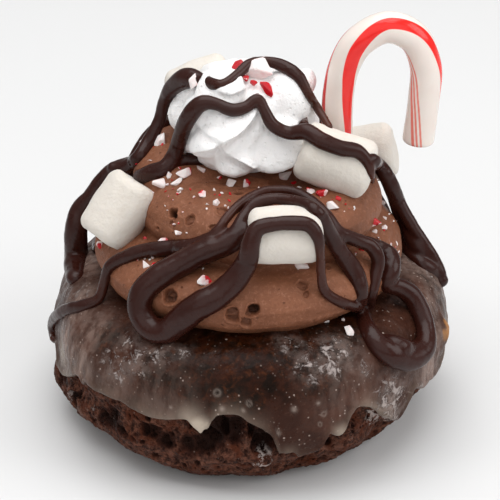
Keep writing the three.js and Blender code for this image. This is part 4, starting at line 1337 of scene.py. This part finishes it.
def frosting_look():
    look = Look("chocolate_frosting")
    look.base(look.span(look.noise(9, 3), 0.35, 0.65), (128, 80, 56), (141, 90, 64))
    look.over(look.span(look.noise(0.8, 4, 0.75), 0.4, 0.62, 0.0, 0.5), (118, 72, 50))
    look.over(look.span(look.noise(0.9, 4, 0.75, 0.4), 0.52, 0.68, 0.0, 0.55), (168, 118, 94))
    look.over(look.span(look.cells(2.6), 0.05, 0.11, 0.6, 0.0), (84, 48, 34))
    # Painted shade in the pits: brown in shallow pits, near black in deep ones.
    look.over(look.span(look.number("pit"), 0.0, 0.4, 0.0, 0.55), (98, 58, 40))
    look.over(look.span(look.number("pit"), 0.4, 1.0, 0.0, 0.8), (54, 29, 19))
    look.bump(look.noise(0.7, 5, 0.7), 0.24)
    look.bump(look.span(look.cells(2.6), 0.03, 0.13), 0.2)
    return look.finish(0.52, Specular_IOR_Level=0.25, Subsurface_Weight=0.05,
                       Subsurface_Radius=(1.0, 0.5, 0.3), Subsurface_Scale=0.0012)


def drizzle_look():
    look = Look("chocolate_drizzle")
    look.base(look.noise(6, 2), (40, 15, 10), (56, 25, 18))
    look.over(look.span(look.number("thickness"), 1.4, 2.6, 0.5, 0.0), (96, 50, 34))
    look.bump(look.noise(2.6, 2), 0.12)
    return look.finish(look.span(look.noise(4, 2), 0.3, 0.7, 0.22, 0.34), Specular_IOR_Level=0.26)


def glaze_look():
    look = Look("cracked_glaze")
    dry = look.number("dry")
    look.base(look.span(look.noise(5, 4, 0.6), 0.35, 0.65), (46, 22, 14), (76, 46, 35))
    look.over(look.span(look.noise(14, 2), 0.35, 0.62), (54, 29, 20))
    look.over(look.span(look.noise(1.3, 4, 0.7), 0.55, 0.75, 0.0, 0.5), (92, 63, 51))
    film = look.colour
    look.base(look.span(look.noise(2.6, 4, 0.65), 0.35, 0.68), (19, 6, 1), (46, 18, 6))
    look.over(look.span(look.noise(1.9, 4, 0.65, 0.5), 0.5, 0.74, 0.0, 0.65), (80, 40, 17))
    soaked = look.colour
    wet = look.times(look.number("bare"), look.span(look.noise(4.2, 3), 0.3, 0.55, 0.6, 1.0))
    look.colour = look.mix(look.span(wet, 0.08, 0.4), film, soaked)
    # Pale streaks: a painted sheen at the glaze's left and right edges, elsewhere a thick sugar film.
    runs = look.span(look.noise(2.0, 4, 0.6, 0.3, drawn_out=4), 0.34, 0.64, 0.25, 1.0)
    look.over(look.times(look.number("pale"), runs), (150, 128, 118))
    look.over(look.times(dry, look.span(look.noise(3.0, 5, 0.68), 0.4, 0.62, 0.0, 0.5)), (136, 119, 112))
    streak = look.span(look.noise(2.2, 6, 0.74, 0.6), 0.45, 0.66)
    crackle = look.span(look.times(streak, look.maths("ADD", dry, 0.1)), 0.22, 0.75)
    look.over(look.times(crackle, 0.78), (180, 168, 164))
    fine = look.span(look.cells(1.25), 0.09, 0.2, 1.0, 0.0)
    fine = look.times(fine, look.span(look.noise(3.5, 2), 0.42, 0.62, 0.1, 0.7))
    fine = look.times(fine, look.span(wet, 0.2, 0.8, 1.0, 0.25))
    coarse = look.span(look.cells(4.1), 0.03, 0.08, 0.7, 0.0)
    look.over(look.maths("MAXIMUM", fine, coarse), (178, 160, 150))
    look.over(look.times(look.number("spots"), 0.6), (165, 150, 140))
    look.over(look.number("milky"), (184, 170, 154))
    # Painted amber glints.
    look.over(look.span(look.number("amber"), 0.35, 0.75, 0.0, 0.85), (176, 124, 76))
    look.bump(look.noise(1.8, 4, 0.6), 0.3)
    look.bump(crackle, 0.14)
    rough = look.span(look.noise(2, 4, 0.6), 0.35, 0.7, 0.26, 0.5)
    return look.finish(look.blend(look.times(crackle, 0.8), rough, 0.7), Specular_IOR_Level=0.1)


def crumb_look():
    look = Look("chocolate_crumb")
    look.base(look.span(look.noise(1.3, 5, 0.72), 0.36, 0.66), (40, 18, 11), (116, 73, 57))
    look.over(look.span(look.noise(3.6, 3), 0.48, 0.66), (86, 43, 26))
    # Painted light on the raised crumb, where the torn crumb stands highest.
    look.over(look.span(look.number("torn"), 0.62, 0.95, 0.0, 0.45), (122, 86, 72))
    # Painted shade in the pores and cavities of the crumb.
    look.over(look.span(look.number("cavity"), 0.04, 0.4, 0.0, 0.8), (44, 18, 10))
    look.over(look.span(look.number("cavity"), 0.4, 1.0, 0.0, 0.7), (22, 8, 4))
    sugar = look.times(look.span(look.noise(1.6, 5, 0.7), 0.42, 0.6), look.number("dry"))
    look.over(look.span(sugar, 0.3, 0.7, 0.0, 0.85), (190, 176, 170))
    look.over(look.span(look.cells(2.2), 0.05, 0.11, 0.5, 0.0), (150, 128, 118))
    # Painted amber glints.
    look.over(look.span(look.number("amber"), 0.35, 0.75, 0.0, 0.85), (176, 124, 76))
    look.bump(look.noise(0.9, 5, 0.72), 0.7)
    look.bump(look.span(look.cells(0.9), 0.05, 0.4), 0.3)
    return look.finish(look.span(look.noise(3, 3), 0.35, 0.6, 0.5, 0.8), Specular_IOR_Level=0.12)


def cream_look():
    look = Look("whipped_cream")
    look.base(look.noise(3, 3), (247, 244, 243), (253, 251, 250))
    look.bump(look.noise(0.55, 5, 0.7), 0.22)
    look.bump(look.span(look.cells(1.1), 0.05, 0.3), 0.14)
    return look.finish(0.6, Specular_IOR_Level=0.3, Subsurface_Weight=0.2,
                       Subsurface_Radius=(1.0, 0.9, 0.85), Subsurface_Scale=0.0015)


def marshmallow_look():
    look = Look("marshmallow")
    look.base(look.noise(2, 4), (217, 209, 199), (228, 222, 213))
    look.bump(look.noise(0.6, 5, 0.65), 0.16)
    look.bump(look.noise(2.4, 2), 0.2)
    return look.finish(0.72, Specular_IOR_Level=0.25, Subsurface_Weight=0.3,
                       Subsurface_Radius=(1.0, 0.9, 0.75), Subsurface_Scale=0.0015)


def stripe(look, degrees, half_width, softness):
    """1 within a stripe round the cane's section at an angle, and 0 outside it."""
    angle = math.radians(degrees)
    cosine = look.times(look.number("stripe_cosine"), math.cos(angle))
    sine = look.times(look.number("stripe_sine"), math.sin(angle))
    edges = (math.cos(math.radians(half_width + away)) for away in (softness, -softness))
    return look.span(look.maths("ADD", cosine, sine), *edges)


def cane_look():
    look = Look("striped_candy")
    red = look.mix(look.noise(2.2, 3), srgb(236, 12, 12), srgb(250, 44, 34))
    look.base(look.noise(5, 3), (236, 221, 212), (246, 237, 229))
    thin = 0.0
    for degrees, half_width in THIN_STRIPES:
        thin = look.maths("MAXIMUM", thin, stripe(look, degrees, half_width, softness=1.5))
    look.over(look.times(thin, 0.8), (236, 84, 62))
    look.over(stripe(look, *FAR_STRIPE, softness=3), (212, 56, 56))
    wide = look.maths("SUBTRACT", look.number("stripe_cosine"), look.number("stripe_edge"))
    look.colour = look.mix(look.span(wide, -0.012, 0.012), look.colour, red)
    look.bump(look.noise(4, 2), 0.06)
    return look.finish(0.2, Subsurface_Weight=0.15, Subsurface_Radius=(1.0, 0.6, 0.5), Subsurface_Scale=0.001)


def peppermint_look():
    look = Look("crushed_peppermint")
    side = look.maths("ADD", look.number("red_side"), look.span(look.noise(0.8, 2), 0.3, 0.7, -0.08, 0.08))
    look.base(look.noise(0.9, 2), (236, 220, 218), (250, 243, 240))
    look.over(look.span(side, -0.2, 0.1, 0.0, 0.5), (232, 150, 152))
    look.over(look.span(side, 0.08, 0.14), (196, 22, 34))
    look.bump(look.noise(0.5, 2), 0.03)
    return look.finish(0.22, Subsurface_Weight=0.2, Subsurface_Radius=(1.0, 0.6, 0.6),
                       Subsurface_Scale=0.0006)


# The set
def add_camera():
    camera = bpy.data.objects.new("camera", bpy.data.cameras.new("camera"))
    bpy.context.scene.collection.objects.link(camera)
    camera.data.sensor_width = 36
    camera.data.lens = 162
    eye, direction = sight_line(FRONT, SIGHT["centre"], SIGHT["centre"])
    camera.location = Vector(eye * MM)
    camera.rotation_euler = Vector(direction).to_track_quat("-Z", "Y").to_euler()
    bpy.context.scene.camera = camera


def area_light(name, place, size, power):
    data = bpy.data.lights.new(name, "AREA")
    data.shape = "RECTANGLE"
    data.size, data.size_y = size
    data.energy = power
    light = bpy.data.objects.new(name, data)
    light.location = place
    aim = Vector(LIGHTS_AIM) - Vector(place)
    light.rotation_euler = aim.to_track_quat("-Z", "Y").to_euler()
    bpy.context.scene.collection.objects.link(light)


def add_studio():
    floor = bpy.data.meshes.new("floor")
    corners = [(-FLOOR_REACH, -FLOOR_REACH), (FLOOR_REACH, -FLOOR_REACH),
               (FLOOR_REACH, FLOOR_REACH), (-FLOOR_REACH, FLOOR_REACH)]
    floor.from_pydata([(x, y, 0) for x, y in corners], [], [(0, 1, 2, 3)])
    ground = bpy.data.objects.new("floor", floor)
    ground.location.z = FLOOR_HEIGHT
    bpy.context.scene.collection.objects.link(ground)
    look = Look("pale_floor")
    look.set(Base_Color=(0.76, 0.76, 0.76, 1), Roughness=0.9)
    floor.materials.append(look.material)
    world = bpy.data.worlds.new("studio")
    world.use_nodes = True
    background = world.node_tree.nodes["Background"]
    background.inputs["Color"].default_value = (1, 1, 1, 1)
    background.inputs["Strength"].default_value = 0.3
    bpy.context.scene.world = world
    for name, (place, size, power) in LIGHTS.items():
        area_light(name, place, size, power)


def main():
    bpy.context.scene.view_settings.view_transform = "Standard"
    add_camera()
    add_studio()
    ring = cake_ring()
    coil = frosting()
    guide = whipped_cream(with_peaks=False)
    soft = {name: marshmallow(name, **spec) for name, spec in MARSHMALLOWS.items()}
    trees = [tree_of(piece) for piece in (ring, coil, guide, *soft.values())]
    bpy.data.objects.remove(guide)
    dress(ring, crumb_look(), "cake_ring")
    ring.data.materials.append(glaze_look().material)
    chocolate = drizzle(trees)
    dress(coil, frosting_look(), "frosting")
    dress(chocolate, drizzle_look(), "frosting")
    dress(whipped_cream(with_peaks=True), cream_look(), "whipped_cream")
    powdery = marshmallow_look()
    for name, piece in soft.items():
        dress(piece, powdery, name)
    dress(candy_cane(), cane_look(), "candy_cane")
    candy = peppermint_look()
    shards = peppermint_on_frosting(trees)
    dress(peppermint("peppermint_shards", shards), candy, "frosting")
    crumbs = crumbs_round(shards, trees)
    dress(peppermint("peppermint_crumbs", crumbs), candy, "frosting")
    on_cream = drawn_shards(trees[CREAM_TREE], PEPPERMINT_ON_CREAM, seed=200)
    dress(peppermint("peppermint_on_cream", on_cream), candy, "whipped_cream")
    on_glaze = drawn_shards(trees[RING_TREE], PEPPERMINT_ON_GLAZE, seed=220)
    dress(peppermint("peppermint_on_glaze", on_glaze), candy, "cake_ring")


main()
